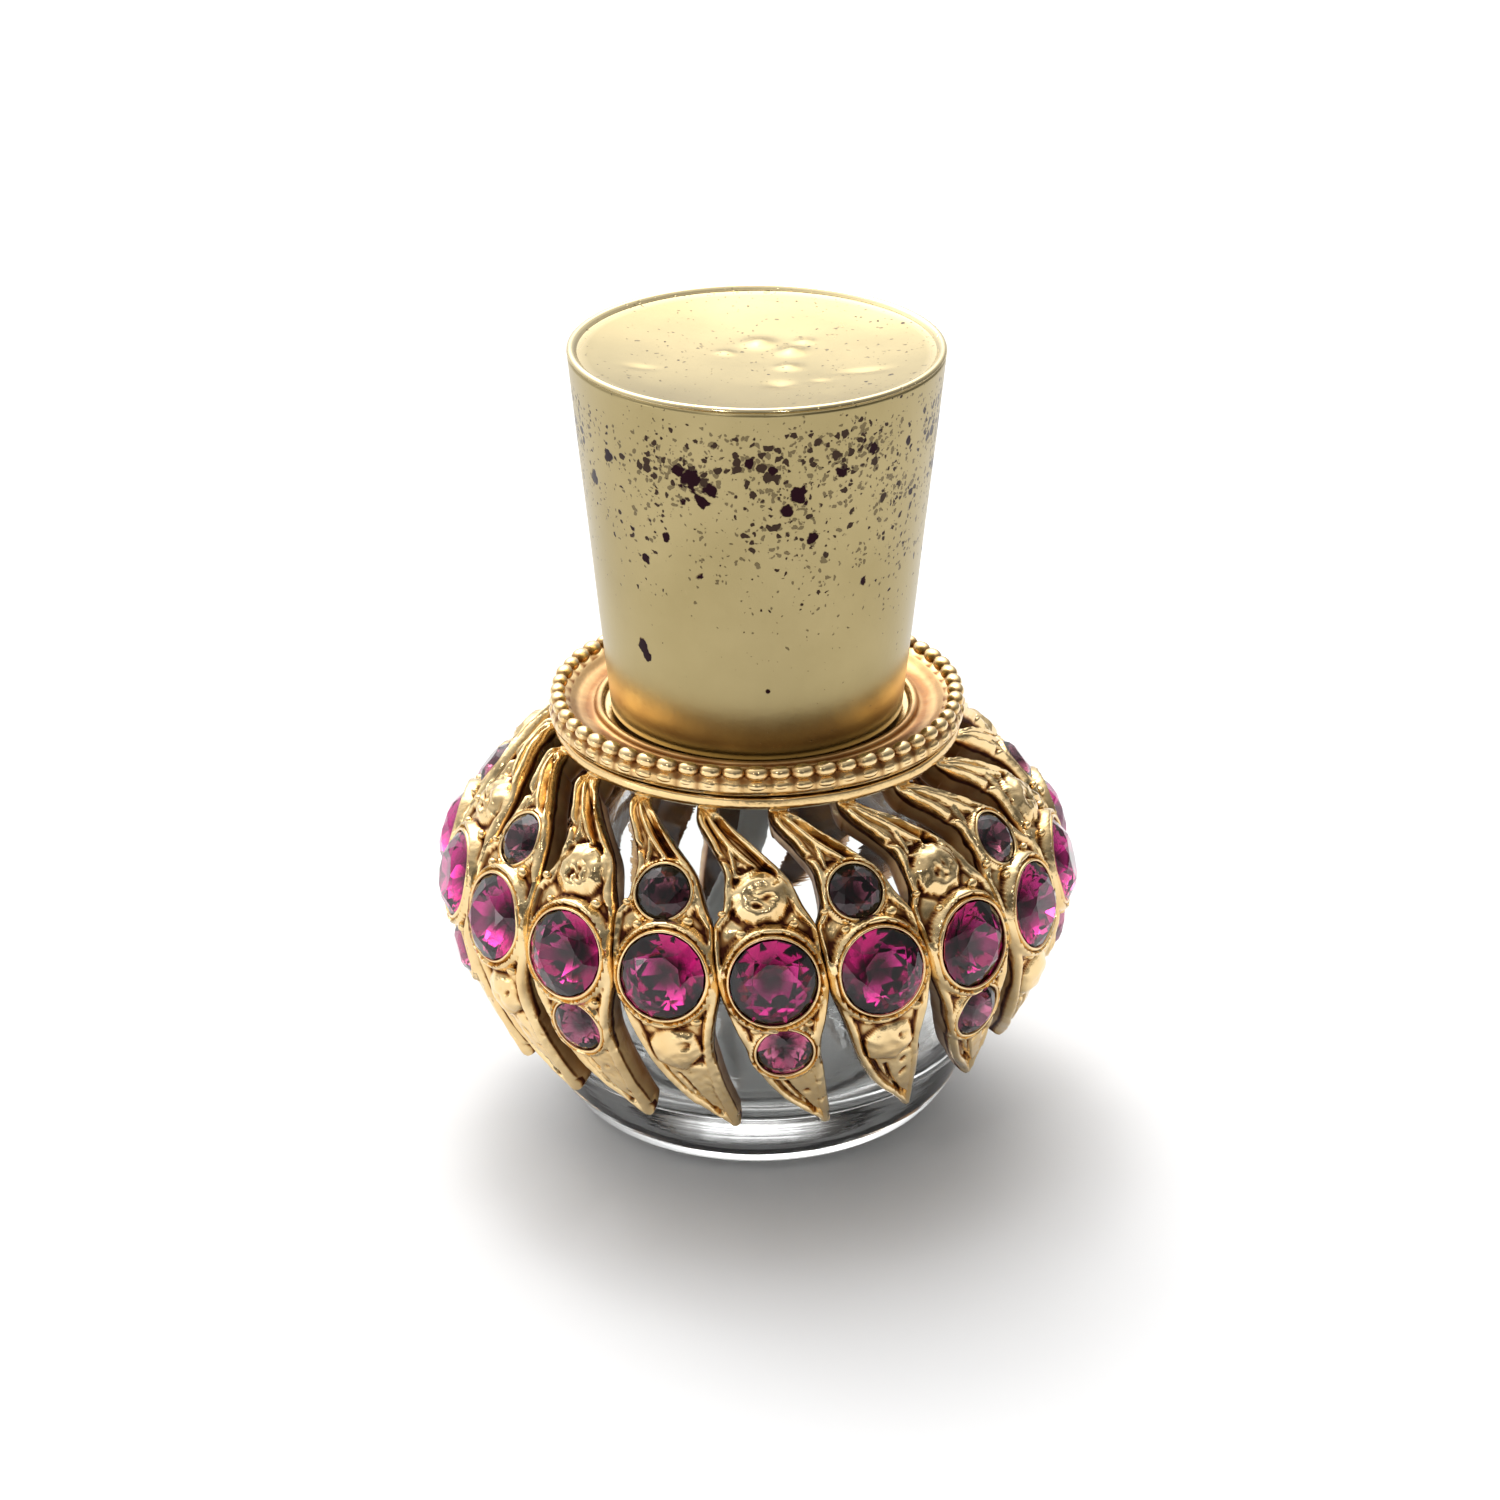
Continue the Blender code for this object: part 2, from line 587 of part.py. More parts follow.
def cap_liner(frame):
    plastic = make_material("liner_plastic", (0.80, 0.78, 0.72), 0.45, 0.0)
    outset = CAP_WALL + 1.1 * GAP
    base = CAP_BASE + GAP
    top = CAP_HEIGHT - 2.5
    roof = top - 0.6
    profile = [(LINER_GRIP_RADIUS, base), (cap_radius(base) - outset, base)]
    profile += [(cap_radius(top) - outset, top), (0.0, top), (0.0, roof)]
    profile += [(cap_radius(roof) - outset - 0.9, roof)]
    profile += [(cap_radius(LINER_GRIP_TOP + 1.0) - outset - 0.9, LINER_GRIP_TOP + 1.0)]
    profile += [(LINER_GRIP_RADIUS, LINER_GRIP_TOP)]
    first = profile.index((0.0, top))
    return turned_piece("cap_liner", profile[first + 1:] + profile[:first + 1], plastic, frame)


def build():
    clear_scene()
    bottle_frame = make_frame("bottle_frame", 0.0)
    pump_frame = make_frame("pump_frame", 48.0, bottle_frame)
    ferrule_frame = make_frame("ferrule_frame", FERRULE_BASE, pump_frame)
    ball_frame = make_frame("ball_frame", BALL_HEIGHT, pump_frame)
    stem_frame = make_frame("stem_frame", STEM_BASE, pump_frame)
    button_frame = make_frame("button_frame", BUTTON_BASE, stem_frame)
    cap_frame = make_frame("cap_frame", CAP_BASE, ferrule_frame)
    glass_bottle(bottle_frame)
    leaf_cage(bottle_frame)
    stones(bottle_frame)
    collar_ring(bottle_frame)
    neck_gasket(pump_frame)
    pump_housing(pump_frame)
    stem_gland(pump_frame)
    dip_tube(pump_frame)
    pump_spring(pump_frame)
    ferrule(ferrule_frame)
    inlet_ball(ball_frame)
    piston(stem_frame)
    stem(stem_frame)
    actuator_button(button_frame)
    nozzle_insert(button_frame)
    cap_shell(cap_frame)
    cap_liner(cap_frame)


build()
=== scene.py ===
import math
import random

import bmesh
import bpy
import numpy as np
from mathutils import Matrix, Vector


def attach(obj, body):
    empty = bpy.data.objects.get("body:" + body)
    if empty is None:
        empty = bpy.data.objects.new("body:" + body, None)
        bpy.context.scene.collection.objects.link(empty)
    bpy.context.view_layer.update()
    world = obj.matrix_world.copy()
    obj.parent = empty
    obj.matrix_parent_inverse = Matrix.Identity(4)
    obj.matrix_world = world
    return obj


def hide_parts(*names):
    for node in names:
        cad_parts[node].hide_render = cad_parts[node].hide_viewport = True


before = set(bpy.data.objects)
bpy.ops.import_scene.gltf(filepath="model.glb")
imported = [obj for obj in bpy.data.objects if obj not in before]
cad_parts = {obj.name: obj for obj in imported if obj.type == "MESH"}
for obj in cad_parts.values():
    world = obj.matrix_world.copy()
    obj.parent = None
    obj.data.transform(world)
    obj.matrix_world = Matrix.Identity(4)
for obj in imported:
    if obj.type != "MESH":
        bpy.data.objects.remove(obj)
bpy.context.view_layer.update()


# ---- Glass bottle ----
# The real bottle is blown and pressed clear soda glass with a thick heel and a threaded neck.
# It stands on a ground foot ring, and everything else is carried by its neck.
MM = 0.001


def spline(points, per_span):
    """A smooth curve through (radius, height) points."""
    p = np.array([points[0], *points, points[-1]], float)
    out = []
    for i in range(1, len(p) - 2):
        for t in np.linspace(0.0, 1.0, per_span, endpoint=False):
            a, b, c, d = p[i - 1], p[i], p[i + 1], p[i + 2]
            out.append(0.5 * (2 * b + (c - a) * t + (2 * a - 5 * b + 4 * c - d) * t ** 2
                              + (3 * b - a - 3 * c + d) * t ** 3))
    return [tuple(q) for q in out] + [tuple(p[-1])]


def eased(points, radius, steps=4):
    """The same outline with each inner corner rounded off by about the given radius."""
    out = [tuple(points[0])]
    for before, corner, after in zip(points, points[1:], points[2:]):
        b, c, a = (np.array(v, float) for v in (before, corner, after))
        reach_in = min(radius, 0.45 * np.linalg.norm(c - b))
        reach_out = min(radius, 0.45 * np.linalg.norm(a - c))
        start = c + (b - c) / np.linalg.norm(b - c) * reach_in
        end = c + (a - c) / np.linalg.norm(a - c) * reach_out
        for t in np.linspace(0.0, 1.0, steps + 1):
            out.append(tuple((1 - t) ** 2 * start + 2 * t * (1 - t) * c + t ** 2 * end))
    return out + [tuple(points[-1])]


def grid_mesh(name, rows, wrap_rows=False, smooth_angle=40.0):
    """A skin over a grid of points in millimetres, closed round each row."""
    count, width = rows.shape[:2]
    index = np.arange(count * width).reshape(count, width)
    last = count if wrap_rows else count - 1
    here, following = index[:last], np.roll(index, -1, axis=0)[:last]
    faces = np.stack([here, np.roll(here, -1, 1), np.roll(following, -1, 1), following], -1)
    mesh = bpy.data.meshes.new(name)
    mesh.from_pydata((rows.reshape(-1, 3) * MM).tolist(), [], faces.reshape(-1, 4).tolist())
    return tidy_mesh(mesh, smooth_angle)


def tidy_mesh(mesh, smooth_angle=40.0):
    """Closes poles and open ends, then points every face outwards."""
    bm = bmesh.new()
    bm.from_mesh(mesh)
    bmesh.ops.remove_doubles(bm, verts=bm.verts, dist=0.002 * MM)
    ends = [edge for edge in bm.edges if edge.is_boundary]
    if ends:
        bmesh.ops.holes_fill(bm, edges=ends)
    bmesh.ops.recalc_face_normals(bm, faces=bm.faces)
    bm.to_mesh(mesh)
    bm.free()
    mesh.shade_smooth()
    mesh.set_sharp_from_angle(angle=math.radians(smooth_angle))
    return mesh


def turned(name, profile, segments=96, shape=None):
    """A profile of (radius, height) turned round the axis; shape may move points by angle."""
    p = np.array(profile, float)
    angle = np.linspace(0.0, math.tau, segments, endpoint=False)
    turn, radius = np.meshgrid(angle, p[:, 0])
    height = np.repeat(p[:, 1:2], segments, axis=1)
    if shape:
        radius, height = shape(turn, radius, height)
    rows = np.stack([radius * np.sin(turn), -radius * np.cos(turn), height], -1)
    on_axis = p[0, 0] == 0.0 and p[-1, 0] == 0.0
    return grid_mesh(name, rows, wrap_rows=not on_axis)


def add_piece(name, mesh, materials, body, nodes):
    """Puts a finished mesh in the scene, riding on its body in place of its CAD nodes."""
    piece = bpy.data.objects.new(name, mesh)
    bpy.context.scene.collection.objects.link(piece)
    for material in materials:
        mesh.materials.append(material)
    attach(piece, body)
    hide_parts(*nodes)
    return piece


def node(tree, kind, inputs=(), **settings):
    """Adds a node; inputs are (socket, value) pairs, where a value may be another node's output."""
    made = tree.nodes.new(kind)
    for key, value in settings.items():
        setattr(made, key, value)
    for key, value in inputs:
        if isinstance(value, bpy.types.NodeSocket):
            tree.links.new(value, made.inputs[key])
        else:
            made.inputs[key].default_value = value
    return made


def finish(name, colour, roughness, metallic=0.0, **plain):
    """A material with its Principled shader set; returns the material, its tree and the shader."""
    material = bpy.data.materials.new(name)
    material.use_nodes = True
    tree = material.node_tree
    shader = tree.nodes["Principled BSDF"]
    shader.inputs["Base Color"].default_value = (*colour, 1.0)
    shader.inputs["Roughness"].default_value = roughness
    shader.inputs["Metallic"].default_value = metallic
    for key, value in plain.items():
        shader.inputs[key.replace("_", " ")].default_value = value
    return material, tree, shader


def ramp(tree, factor, stops):
    """A colour ramp; stops are (place, grey level or colour)."""
    made = node(tree, "ShaderNodeValToRGB", [("Fac", factor)])
    elements = made.color_ramp.elements
    while len(elements) < len(stops):
        elements.new(0.5)
    for element, (place, value) in zip(elements, stops):
        element.position = place
        level = value if isinstance(value, tuple) else (value, value, value)
        element.color = (*level, 1.0)
    return made.outputs["Color"]


def maths(tree, operation, first, second=0.0, third=None, clamp=False):
    inputs = [(0, first), (1, second)] + ([] if third is None else [(2, third)])
    return node(tree, "ShaderNodeMath", inputs, operation=operation, use_clamp=clamp).outputs[0]


def vector_maths(tree, operation, first, second):
    return node(tree, "ShaderNodeVectorMath", [(0, first), (1, second)], operation=operation).outputs[0]


def split_axes(tree, vector):
    return node(tree, "ShaderNodeSeparateXYZ", [(0, vector)]).outputs


def noise(tree, place, scale, detail):
    return node(tree, "ShaderNodeTexNoise", [("Vector", place), ("Scale", scale), ("Detail", detail)])


def add_bump(tree, shader, height, strength, distance):
    """Feeds a shader's normal from a height."""
    bump = node(tree, "ShaderNodeBump", [("Height", height), ("Strength", strength), ("Distance", distance)])
    tree.links.new(bump.outputs[0], shader.inputs["Normal"])


def coordinates(tree):
    return node(tree, "ShaderNodeTexCoord").outputs["Object"]


def effect_group(name, inputs, outputs):
    """An empty shader group with float or vector inputs and outputs, by name."""
    group = bpy.data.node_groups.new(name, "ShaderNodeTree")
    kinds = {"float": "NodeSocketFloat", "vector": "NodeSocketVector", "colour": "NodeSocketColor"}
    for key, kind, value in inputs:
        socket = group.interface.new_socket(key, in_out="INPUT", socket_type=kinds[kind])
        if value is not None:
            socket.default_value = value
    for key, kind in outputs:
        group.interface.new_socket(key, in_out="OUTPUT", socket_type=kinds[kind])
    return group, node(group, "NodeGroupInput").outputs, node(group, "NodeGroupOutput").inputs


def use_group(tree, group, inputs=()):
    return node(tree, "ShaderNodeGroup", inputs, node_tree=group)


def ripple_group():
    """Long soft waves round the axis, as pressed glass and spun metal have."""
    group, given, out = effect_group(
        "ripples", [("Vector", "vector", None), ("Rings", "float", 900.0), ("Waviness", "float", 0.3)],
        [("Height", "float")])
    wander = maths(group, "MULTIPLY", noise(group, given["Vector"], 120.0, 2.0).outputs[0], given["Waviness"])
    place = maths(group, "MULTIPLY", split_axes(group, given["Vector"])[2], given["Rings"])
    along = maths(group, "ADD", place, wander)
    rings = node(group, "ShaderNodeTexNoise", [("W", along), ("Scale", 1.0), ("Detail", 3.0)],
                 noise_dimensions="1D")
    group.links.new(rings.outputs[0], out["Height"])
    return group


RIPPLES = ripple_group()

GLASS_OUTSIDE = [(14.5, 0.5), (16.4, 1.8), (18.0, 4.2), (18.9, 7.4), (19.2, 11.0), (19.0, 15.5),
                 (18.2, 20.5), (16.4, 25.6), (13.3, 30.4), (10.6, 33.4), (9.3, 35.2), (9.0, 36.2)]
GLASS_INSIDE = [(4.6, 36.0), (5.3, 33.6), (8.2, 31.2), (12.0, 27.9), (14.9, 23.4), (16.4, 18.0),
                (16.7, 12.5), (16.3, 8.6), (15.0, 6.3), (12.6, 5.4), (8.0, 5.5), (0.0, 5.9)]
NECK_RADIUS = 6.6
NECK_THREAD_DEPTH = 0.85
THREAD_PITCH = 3.0
THREAD_START = 39.6
THREAD_TURNS = 1.5


def neck_thread(turn, radius, height):
    """Raises a right-hand thread on the neck's outer wall."""
    turns = (turn + math.pi / 2) / math.tau % 1.0
    ridge = np.zeros_like(radius)
    for lap in range(2):
        along = turns + lap
        middle = THREAD_START + THREAD_PITCH * along
        fade = np.clip(np.minimum(along, THREAD_TURNS - along) / 0.06, 0.0, 1.0)
        ridge = np.maximum(ridge, fade * np.clip(1.5 - abs(height - middle) / 0.42, 0.0, 1.0))
    on_neck = (radius > NECK_RADIUS - 0.3) & (radius < NECK_RADIUS + 0.1) & (height > 38.0)
    return radius + ridge * on_neck * NECK_THREAD_DEPTH, height


def glass_bottle():
    foot = eased([(0.0, 0.8), (8.6, 0.6), (9.7, 0.05), (10.1, 0.0), (12.2, 0.0), (12.8, 0.08), (14.5, 0.5)],
                 0.3)
    shoulder = [(NECK_RADIUS + 0.4, 36.2), (NECK_RADIUS, 36.5)]
    neck = [(NECK_RADIUS, h) for h in np.arange(37.0, 46.2, 0.16)]
    lip = eased([(NECK_RADIUS, 46.2), (NECK_RADIUS, 46.6), (4.6, 46.6), (4.6, 46.0)], 0.45)
    inside = [(4.6, 42.0), (4.6, 39.0)] + spline(GLASS_INSIDE, 6)
    profile = foot[:-1] + spline(GLASS_OUTSIDE, 7) + shoulder + neck + lip + inside
    mesh = turned("glass_bottle", profile, 160, neck_thread)
    material, tree, shader = finish("clear_glass", (0.97, 0.985, 0.98), 0.0, Transmission_Weight=1.0, IOR=1.5)
    here = coordinates(tree)
    rings = use_group(tree, RIPPLES, [("Vector", here), ("Rings", 1100.0), ("Waviness", 0.25)])
    dust = noise(tree, here, 900.0, 4.0)
    add_bump(tree, shader, rings.outputs[0], 0.05, 0.0003)
    film = ramp(tree, dust.outputs[0], [(0.45, 0.0), (0.8, 0.07)])
    height = maths(tree, "MULTIPLY", split_axes(tree, here)[2], 100.0)
    ground = ramp(tree, height, [(0.03, 0.45), (0.09, 0.0)])
    tree.links.new(maths(tree, "ADD", film, ground), shader.inputs["Roughness"])
    add_piece("bottle_glass", mesh, [material], "bottle", ["glass_bottle"])


glass_bottle()


# ---- Leaf cage ----
# The real cage is a gilt lead-alloy casting: a ring with 18 swirled leaves that hang round the glass.
# Each leaf has raised rims, veins, cupped seats for its stones and gold bosses cast in place of some.
LEAF_COUNT = 18
LEAF_PITCH = math.radians(360.0 / LEAF_COUNT)
LEAF_THICKNESS = 2.5
TIP_THICKNESS = 2.0
LEAF_CROWN = 0.3
ROW_STEP = 0.16
FACE_COLUMNS = 46
# Radius, height, left and right edge (degrees) down the leaf's face.
LEAF_STATIONS = (
    (17.1, 36.2, -17.0, -11.2), (17.1, 35.2, -17.0, -11.2), (18.2, 34.5, -16.0, -7.2),
    (20.0, 33.0, -11.0, 0.5), (21.8, 31.1, -7.2, 7.2), (23.2, 29.4, -7.0, 9.6), (24.4, 27.9, -8.4, 11.6),
    (25.5, 25.7, -7.8, 12.2), (26.3, 22.6, -6.6, 13.4), (26.4, 20.0, -4.4, 12.6), (25.8, 17.3, -2.2, 12.1),
    (24.8, 14.5, 0.6, 13.1), (23.6, 11.9, 4.6, 14.4), (21.8, 8.7, 13.2, 16.6),
)
# A stone's seat: azimuth, radius, height and upward tilt of its face.
SEATS = {
    "upper": (0.6, 22.9, 29.8, 37.0),
    "large": (3.0, 26.15, 23.9, 12.5),
    "lower": (5.1, 25.85, 17.3, -11.0),
}
STONE_RADIUS = {"upper": 2.25, "large": 3.6, "lower": 2.3}
BOSS_RADIUS = 2.35
TIP_OVERHANG = 0.55
EDGE_ROLL = 0.3
RIM_HEIGHT = 0.62
WELL_DEPTH = 2.25
CREVICE_DEPTH = 0.2


def joined_mesh(name, meshes):
    """Several closed shells as one mesh."""
    bm = bmesh.new()
    for mesh in meshes:
        bm.from_mesh(mesh)
        bpy.data.meshes.remove(mesh)
    mesh = bpy.data.meshes.new(name)
    bm.to_mesh(mesh)
    bm.free()
    return mesh


def point_places(mesh):
    """Every vertex's place in millimetres."""
    places = np.empty(len(mesh.vertices) * 3, np.float32)
    mesh.vertices.foreach_get("co", places)
    return places.reshape(-1, 3) / MM


def store(mesh, name, values):
    """Keeps one number on each vertex, for the material to read."""
    mesh.attributes.new(name, "FLOAT", "POINT").data.foreach_set("value", np.array(values, np.float32))


def steady(places, values, wanted):
    """Smooth interpolation that never overshoots between its points."""
    x, y = np.array(places, float), np.array(values, float)
    step = np.diff(x)
    slope = np.diff(y) / step
    tangent = np.zeros_like(y)
    tangent[0], tangent[-1] = slope[0], slope[-1]
    same = slope[:-1] * slope[1:] > 0
    mean = 2.0 * slope[:-1] * slope[1:] / np.where(same, slope[:-1] + slope[1:], 1.0)
    tangent[1:-1] = np.where(same, mean, 0.0)
    i = np.clip(np.searchsorted(x, wanted) - 1, 0, len(step) - 1)
    t = (wanted - x[i]) / step[i]
    a, b, m, n = y[i], y[i + 1], tangent[i] * step[i], tangent[i + 1] * step[i]
    return ((2 * t ** 3 - 3 * t ** 2 + 1) * a + (t ** 3 - 2 * t ** 2 + t) * m
            + (3 * t ** 2 - 2 * t ** 3) * b + (t ** 3 - t ** 2) * n)


def is_stone_seat(row, leaf):
    """Upper and lower seats hold a stone on every other leaf and a gold boss between them."""
    return row == "large" or (leaf % 2 == 1) == (row == "upper")


def seat_axes(seat, leaf=0):
    """Centre (mm) and the across, upward and outward directions of a seat."""
    azimuth, radius, height, tilt = seat
    turn, lift = math.radians(azimuth) + leaf * LEAF_PITCH, math.radians(tilt)
    outward = np.array([math.sin(turn), -math.cos(turn), 0.0])
    across = np.array([math.cos(turn), math.sin(turn), 0.0])
    normal = outward * math.cos(lift) + np.array([0.0, 0.0, math.sin(lift)])
    return outward * radius + np.array([0.0, 0.0, height]), across, np.cross(normal, across), normal


def smooth_step(start, end, x):
    t = np.clip((x - start) / (end - start), 0.0, 1.0)
    return t * t * (3.0 - 2.0 * t)


def bead_profile(distance, width):
    """A rounded ridge of height 1 with a fairly crisp top."""
    return np.clip(1.0 - np.abs(2.0 * distance / width) ** 1.5, 0.0, 1.0) ** 0.7


def line_distance(u, s, points):
    """Distance of each grid point from a line of (u, s) points, and the share along it."""
    best = np.full(u.shape, 1e9)
    share = np.zeros(u.shape)
    for number, ((u0, s0), (u1, s1)) in enumerate(zip(points, points[1:])):
        du, ds = u1 - u0, s1 - s0
        t = np.clip(((u - u0) * du + (s - s0) * ds) / (du * du + ds * ds), 0.0, 1.0)
        d = np.hypot(u - u0 - t * du, s - s0 - t * ds)
        share = np.where(d < best, (number + t) / (len(points) - 1), share)
        best = np.minimum(best, d)
    return best, share


def vein(u, s, points, width, height):
    """A tapering ridge along a line."""
    d, share = line_distance(u, s, points)
    taper = 1.0 - 0.45 * np.abs(2.0 * share - 1.0) ** 3
    return height * taper * bead_profile(d, width * taper)


def lumps(x, y, z, scale, seed):
    """Cheap repeatable smooth noise from crossed waves, about -1 to 1."""
    rng = random.Random(seed)
    total = np.zeros(np.shape(x))
    for _ in range(7):
        a, b, c, phase = (rng.uniform(-1, 1) for _ in range(4))
        size = scale * rng.uniform(0.6, 1.7) / math.sqrt(a * a + b * b + c * c)
        total = total + np.sin((a * x + b * y + c * z) * size + phase * math.pi)
    return total / 3.2


class LeafShape:
    """The flat pattern of a leaf: u runs across its face and s down it, both in millimetres."""

    def __init__(self):
        r, z, left, right = (np.array(column, float) for column in zip(*LEAF_STATIONS))
        place = np.concatenate([[0.0], np.cumsum(np.hypot(np.diff(r), np.diff(z)))])
        self.end = place[-1] + TIP_OVERHANG
        s = np.linspace(0.0, self.end, int(self.end / ROW_STEP))
        inner = np.minimum(s, place[-1])
        beyond = s - inner
        self.radius = steady(place, r, inner)
        self.height = steady(place, z, inner)
        slope_r, slope_z = np.gradient(self.radius, s), np.gradient(self.height, s)
        slope_r[beyond > 0], slope_z[beyond > 0] = slope_r[beyond <= 0][-3], slope_z[beyond <= 0][-3]
        self.radius += beyond * slope_r
        self.height += beyond * slope_z
        size = np.hypot(slope_r, slope_z)
        self.normal_r, self.normal_z = -slope_z / size, slope_r / size
        low, high = np.radians(steady(place, left, inner)), np.radians(steady(place, right, inner))
        middle, half = (low + high) / 2, (high - low) / 2
        half = half * np.sqrt(np.clip(1.0 - (beyond / 0.57) ** 2, 0.0025, 1.0))
        middle = middle + math.radians(1.0) * beyond
        self.left, self.right = (middle - half) * self.radius, (middle + half) * self.radius
        width = self.right - self.left
        steps = np.array([0.0, 0.035, 0.1, 0.2, 0.33])
        spread = np.linspace(0.0, 1.0, FACE_COLUMNS - 2 * len(steps) + 2)[1:-1]
        fit = np.minimum(1.0, width / 1.4)[:, None]
        near = steps[None] * fit
        gap = steps[-1] * fit
        between = gap + (width[:, None] - 2 * gap) * spread[None]
        self.across = np.concatenate([near, between, width[:, None] - near[:, ::-1]], axis=1)
        self.u = self.left[:, None] + self.across
        self.s = np.repeat(s[:, None], self.u.shape[1], axis=1)
        lean_l = 1.0 / np.sqrt(1.0 + np.gradient(self.left, s) ** 2)
        lean_r = 1.0 / np.sqrt(1.0 + np.gradient(self.right, s) ** 2)
        self.from_left = self.across * lean_l[:, None]
        self.from_right = (width[:, None] - self.across) * lean_r[:, None]
        self.width = width

    def point(self, u, s_index, height, leaf):
        """Space position of face points raised by height along the face's normal."""
        r, z = self.radius[s_index], self.height[s_index]
        turn = u / r + leaf * LEAF_PITCH
        out = r + height * self.normal_r[s_index]
        return np.stack([out * np.sin(turn), -out * np.cos(turn), z + height * self.normal_z[s_index]], -1)

    def relief(self, leaf, seed):
        """Height of the face over its base surface, with its rims, veins, seats and bosses."""
        u, s, near_l, near_r = self.u, self.s, self.from_left, self.from_right
        rows = np.repeat(np.arange(len(self.radius))[:, None], u.shape[1], axis=1)
        base = self.point(u, rows, 0.0, 0)
        wander = 0.14 * lumps(u, s, 0 * u, 0.9, seed)
        du, ds = u + wander, s + 0.14 * lumps(u, s, 0 * u + 5.0, 0.8, seed + 1)
        joined = smooth_step(10.6, 11.8, s) * (1.0 - smooth_step(16.2, 17.6, s))
        strap = 1.0 - smooth_step(6.0, 7.6, s)
        share = self.across / self.width[:, None]
        crown = LEAF_CROWN * (1.0 - (2.0 * share - 1.0) ** 2)
        ground = -0.34 + 0.1 * joined + 0.06 * lumps(u, s, 0 * u, 2.2, seed + 2)
        wide_l = 0.92 - 0.36 * joined - 0.1 * strap
        wide_r = 1.05 - 0.48 * joined - 0.2 * strap
        notch = 1.0 - 0.85 * np.exp(-((s - 5.6) / 0.28) ** 2)
        swell = 1.0 + 0.12 * lumps(0 * u, s, 0 * u, 1.3, seed + 3)
        rim = RIM_HEIGHT - 0.12 * joined
        rim_l = bead_profile(near_l + 0.5 * wander - 0.5 * wide_l, wide_l * swell) * rim * notch
        rim_r = bead_profile(near_r + 0.5 * wander - 0.5 * wide_r, wide_r * swell) * rim
        height = ground + np.maximum(rim_l, rim_r)
        veins = np.maximum.reduce([
            vein(du, ds, [(-4.2, 1.6), (-3.2, 3.1), (-2.15, 4.35), (-1.0, 5.4), (0.1, 6.35)], 0.8, 0.58),
            vein(du, ds, [(-2.2, 4.3), (-1.85, 5.6), (-1.75, 6.9)], 0.5, 0.42),
            vein(du, ds, [(-1.95, 7.05), (-1.15, 7.1), (-0.4, 6.75), (0.2, 6.2)], 0.55, 0.5)])
        height = np.maximum(height, ground + veins)
        trench, _ = line_distance(du, ds, [(-3.3, 2.1), (-2.0, 3.6), (-0.4, 5.2), (1.3, 6.9)])
        height = height - 0.5 * bead_profile(trench, 0.75)
        pocket = np.hypot((du + 1.15) / 0.42, (ds - 6.35) / 0.33)
        height = height - 0.4 * np.clip(1.0 - pocket, 0.0, 1.0)
        post = 1.0 - smooth_step(1.0, 2.2, s)
        height = height * (1.0 - post) - 0.04 * post
        panel = smooth_step(1.05, 1.35, near_l) * smooth_step(23.0, 24.4, s)
        pits = np.clip(lumps(u, s, 0 * u, 3.6, seed + 4) - 0.75, 0.0, 1.0)
        plate = 0.12 + 0.05 * lumps(u, s, 0 * u, 1.8, seed + 5) - 1.5 * (1.0 - panel)
        height = np.maximum(height, plate)
        groove, _ = line_distance(du, ds, [(2.2, 25.3), (3.3, 27.6), (4.9, 30.6)])
        height = height - 0.42 * bead_profile(groove, 0.42) - 0.35 * pits * panel
        height = height + crown * (1.0 - post)
        for row, seat in SEATS.items():
            centre, over, up, normal = seat_axes(seat)
            x, y, out = (base - centre) @ over, (base - centre) @ up, (base - centre) @ normal
            reach = np.hypot(x, y)
            if is_stone_seat(row, leaf):
                radius = STONE_RADIUS[row]
                fillet = 0.26 - 0.9 * smooth_step(radius + 0.42, radius + 1.05, reach)
                height = np.where(reach < radius + 1.0, np.maximum(height, fillet - out), height)
                well = -0.35 - 2.1 * (radius + 0.3 - reach) / (0.9 * radius)
                height = np.where(reach < radius + 0.3, np.maximum(well, -WELL_DEPTH) - out, height)
            else:
                boss = np.where(reach < BOSS_RADIUS + 0.25, boss_height(row, x, y, seed) - out, -9.0)
                height = np.maximum(height, boss)
                moat = bead_profile(reach - BOSS_RADIUS - 0.28, 0.5) * (0.6 + 0.4 * np.sin(np.arctan2(y, x)))
                height = height - 0.28 * np.clip(moat, 0.0, 1.0) * (row == "upper")
        roll = EDGE_ROLL - np.minimum(np.minimum(near_l, near_r), EDGE_ROLL)
        height = height - (EDGE_ROLL - np.sqrt(np.clip(EDGE_ROLL ** 2 - roll ** 2, 0.0, 1.0)))
        return height + 0.022 * lumps(u, s, 0 * u, 7.0, seed + 6) * random.Random(seed).uniform(0.8, 1.2)

    def crevices(self, height):
        """How deep each face point lies under its surroundings, 0 to 1."""
        wide = height.copy()
        for _ in range(14):
            padded = np.pad(wide, 1, mode="edge")
            wide = 0.5 * wide + 0.125 * (padded[:-2, 1:-1] + padded[2:, 1:-1]
                                         + padded[1:-1, :-2] + padded[1:-1, 2:])
        return np.clip((wide - height) / CREVICE_DEPTH + 0.02, 0.0, 1.0)

